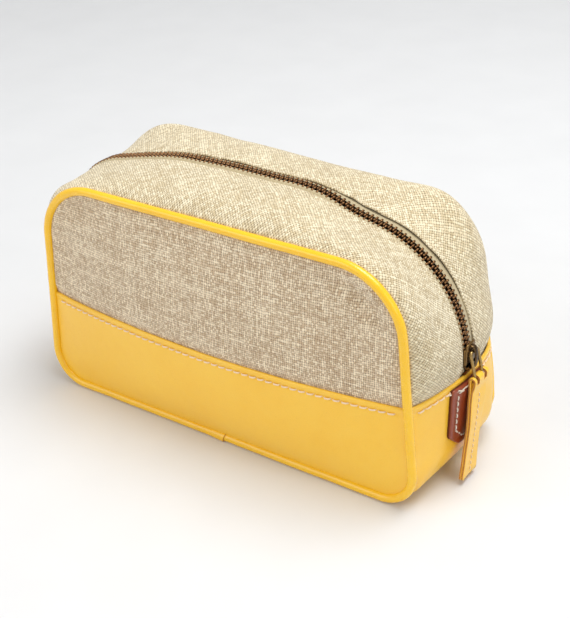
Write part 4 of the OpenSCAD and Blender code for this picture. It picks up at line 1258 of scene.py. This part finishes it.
def build_pull():
    """One strip folded over the ring's lower bar, both layers stitched together down the middle."""
    t = 1.3
    o = 0.8 + 0.14 + t / 2
    ln = 54.6
    pc, pb = 2.0, -4.2
    down = np.concatenate([np.linspace(0, 1, 46)])
    # centre line of the leather, in (x, z) with its outward normal, from the outer layer's free end over the bar to the inner layer's
    def layer(sgn, v):
        g = v
        pinch = 1 - ease(v / 0.1)
        x = sgn * (t / 2 + 0.02 + (o - t / 2 - 0.02) * pinch) - 0.5 * ease(v / 0.12) - 0.9 * v
        x = x + 0.9 * np.sin(v * PI * 1.05) * 0.55 + 0.25 * np.sin(v * 7.0)
        return x, -0.6 - ln * g
    xo, zo = layer(1, down[::-1])
    an = np.linspace(-0.35, PI + 0.35, 15)
    xa, za = o * np.cos(an), o * np.sin(an)
    xi, zi = layer(-1, down)
    x = np.concatenate([xo[:-1], xa[1:-1], xi[1:]])
    z = np.concatenate([zo[:-1], za[1:-1], zi[1:]])
    C2 = np.stack([x, z], 1)
    for _ in range(2):
        C2[1:-1] = 0.25 * C2[:-2] + 0.5 * C2[1:-1] + 0.25 * C2[2:]
    d = np.gradient(C2, axis=0)
    d /= np.linalg.norm(d, axis=1, keepdims=True)
    nrm = np.stack([d[:, 1], -d[:, 0]], 1)
    nrm *= np.sign((nrm[0, 0]))
    n = len(C2)
    v = np.clip(-(C2[:, 1] + 0.6) / ln, 0, 1)
    half = 7.0 + 0.45 * v
    mid = pc + (pb - pc) * v
    twist = np.tan(np.radians(table(v, [0, 0.05, 0.2, 0.45, 0.75, 1.0], [0, 0, -2, 4, 3, 1])))
    # section: (across -1..1, through -1..1) with rounded rims
    ac = np.concatenate([[-1, -0.985, -0.95, -0.9], np.linspace(-0.8, 0.8, 17), [0.9, 0.95, 0.985, 1]])
    hh = np.concatenate([[0.55, 0.82, 0.95, 1.0], np.ones(17), [1.0, 0.95, 0.82, 0.55]])
    m = len(ac)
    V, flat = [], []
    for i in range(n):
        for sgn in (1, -1):
            order = range(m) if sgn > 0 else range(m - 1, -1, -1)
            for j in order:
                a = ac[j]
                y = mid[i] + a * half[i]
                h = hh[j] * t / 2
                seam_in = 0.12 * gauss(a * half[i], 1.3) * (v[i] > 0.1) * (1 if sgn > 0 else 0)
                cup = 0.25 * (a * a - 0.3) * v[i]
                wob = 0.10 * noise(y, C2[i, 1], 4.0, 6, 91)
                p = C2[i] + nrm[i] * sgn * (h - seam_in * sgn * 0)
                px = p[0] + cup + wob - a * half[i] * twist[i] - (seam_in if (sgn > 0 and nrm[i, 0] > 0) else 0)
                V.append([RL[0] + px, y, RL[2] + p[1] - 0.25 * a * (1 if i in (0, n - 1) else 0)])
                flat.append([y, C2[i, 1], 0])
    k = 2 * m
    F, mi = [], []
    for i in range(n - 1):
        for j in range(k):
            j2 = (j + 1) % k
            F.append([i * k + j, i * k + j2, (i + 1) * k + j2, (i + 1) * k + j])
            jj = j if j < m else None
            rim = j in (m - 1, k - 1)
            mi.append(1 if rim else 0)
    # end caps: strips of quads between the two faces
    for i in (0, n - 1):
        for j in range(m - 1):
            F.append([i * k + j, i * k + j + 1, i * k + (k - 2 - j), i * k + (k - 1 - j)])
            mi.append(1)
    ob = make("pull_leather", np.array(V), F, [M_LEATHER, M_RAW], "pull", ("pull_strap",), flat=np.array(flat), mat_index=mi)
    slit(ob, RL[1])
    segs = []
    vs = np.linspace(0.14, 0.97, 15)
    for a, b in zip(vs[:-1], vs[1:]):
        a2, b2 = a + 0.008, b - 0.012
        pts = []
        for w in (a2, b2):
            xx, zz = layer(1, np.array([w]))
            pts.append(np.array([RL[0] + xx[0] + t / 2 - 0.22 - 0.075 * w, pc + (pb - pc) * w, RL[2] + zz[0]]))
        segs.append((pts[0], pts[1], np.array([1, 0, 0.02])))
    stitches("pull_stitching", segs, "pull", ("pull_thread",), M_THREAD, rad=0.28)


build_pull()

# CAD nodes that stay: hidden inner pieces
for nm, mt in (("base_board", M_BOARD), ("zip_top_stops", M_TEETH), ("zip_bottom_stop", M_TEETH)):
    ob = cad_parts[nm]
    ob.data.materials.clear()
    ob.data.materials.append(mt)

# ---------------------------------------------------------------- camera
az, el, roll = math.radians(36.31), math.radians(29.25), math.radians(-2.62)
dist = 679.51
tgt = np.array([14.48, 0, 61.53 + ZF])
back = np.array([math.sin(az) * math.cos(el), -math.cos(az) * math.cos(el), math.sin(el)])
pos = tgt + back * dist
rgt = np.cross(-back, [0, 0, 1.0])
rgt /= np.linalg.norm(rgt)
upv = np.cross(rgt, -back)
r0 = rgt * math.cos(roll) + upv * math.sin(roll)
r1 = -rgt * math.sin(roll) + upv * math.cos(roll)
cam = bpy.data.objects.new("camera", bpy.data.cameras.new("camera"))
bpy.context.scene.collection.objects.link(cam)
cam.data.lens = 74.11
cam.data.sensor_width = 36
cam.data.clip_start, cam.data.clip_end = 0.05, 20
mw = Matrix(((r0[0], r1[0], back[0], pos[0] * MM), (r0[1], r1[1], back[1], pos[1] * MM), (r0[2], r1[2], back[2], pos[2] * MM), (0, 0, 0, 1)))
cam.matrix_world = mw
bpy.context.scene.camera = cam


# ---------------------------------------------------------------- floor and light
def build_stage():
    n = Nodes("paper_white")
    p = n.obj_mm()
    f = n.noise(p, 0.02, 3, 0.5)
    c = n.mix(n.rng(f, 0.3, 0.7, 0, 1), (0.74, 0.745, 0.75), (0.76, 0.765, 0.77))
    mat = n.done(c, 0.55, n.bump(n.noise(p, 0.4, 3, 0.6), 0.06, 0.2), Specular_IOR_Level=0.3)
    me = bpy.data.meshes.new("floor")
    bm = bmesh.new()
    prof_pts = [(-3.0, 0.0)] + [(y, 0.0) for y in np.linspace(-1.5, 2.2, 8)] + [(2.2 + 1.2 * math.sin(a), 1.2 - 1.2 * math.cos(a)) for a in np.linspace(0.1, PI / 2, 12)] + [(3.4, 4.0)]
    rows = []
    for y, z in prof_pts:
        rows.append([bm.verts.new((x, y, z)) for x in (-5, -2, 0, 2, 5)])
    for a, b in zip(rows[:-1], rows[1:]):
        for i in range(4):
            fce = bm.faces.new((a[i], a[i + 1], b[i + 1], b[i]))
            fce.smooth = True
    bm.to_mesh(me)
    bm.free()
    ob = bpy.data.objects.new("floor", me)
    ob.data.materials.append(mat)
    bpy.context.scene.collection.objects.link(ob)


build_stage()


def area(name, loc, target, size, power, color=(1, 1, 1)):
    L = bpy.data.lights.new(name, "AREA")
    L.shape = "RECTANGLE"
    L.size, L.size_y = size
    L.energy = power
    L.color = color
    ob = bpy.data.objects.new(name, L)
    ob.location = loc
    ob.rotation_mode = "QUATERNION"
    ob.rotation_quaternion = (Vector(target) - Vector(loc)).to_track_quat("-Z", "Y")
    bpy.context.scene.collection.objects.link(ob)
    return ob


area("key_top", (0.35, 0.25, 1.5), (0, 0, 0.05), (1.0, 0.9), 19)
area("fill_front", (-0.9, -1.5, 1.0), (0, 0, 0.05), (1.4, 1.2), 9.5)
area("fill_right", (1.6, -0.4, 0.9), (0, 0, 0.06), (1.0, 1.0), 4.0)
world = bpy.data.worlds.new("studio")
bpy.context.scene.world = world
world.use_nodes = True
world.node_tree.nodes["Background"].inputs[0].default_value = (1, 1, 1, 1)
world.node_tree.nodes["Background"].inputs[1].default_value = 0.54
bpy.context.scene.view_settings.view_transform = "Standard"
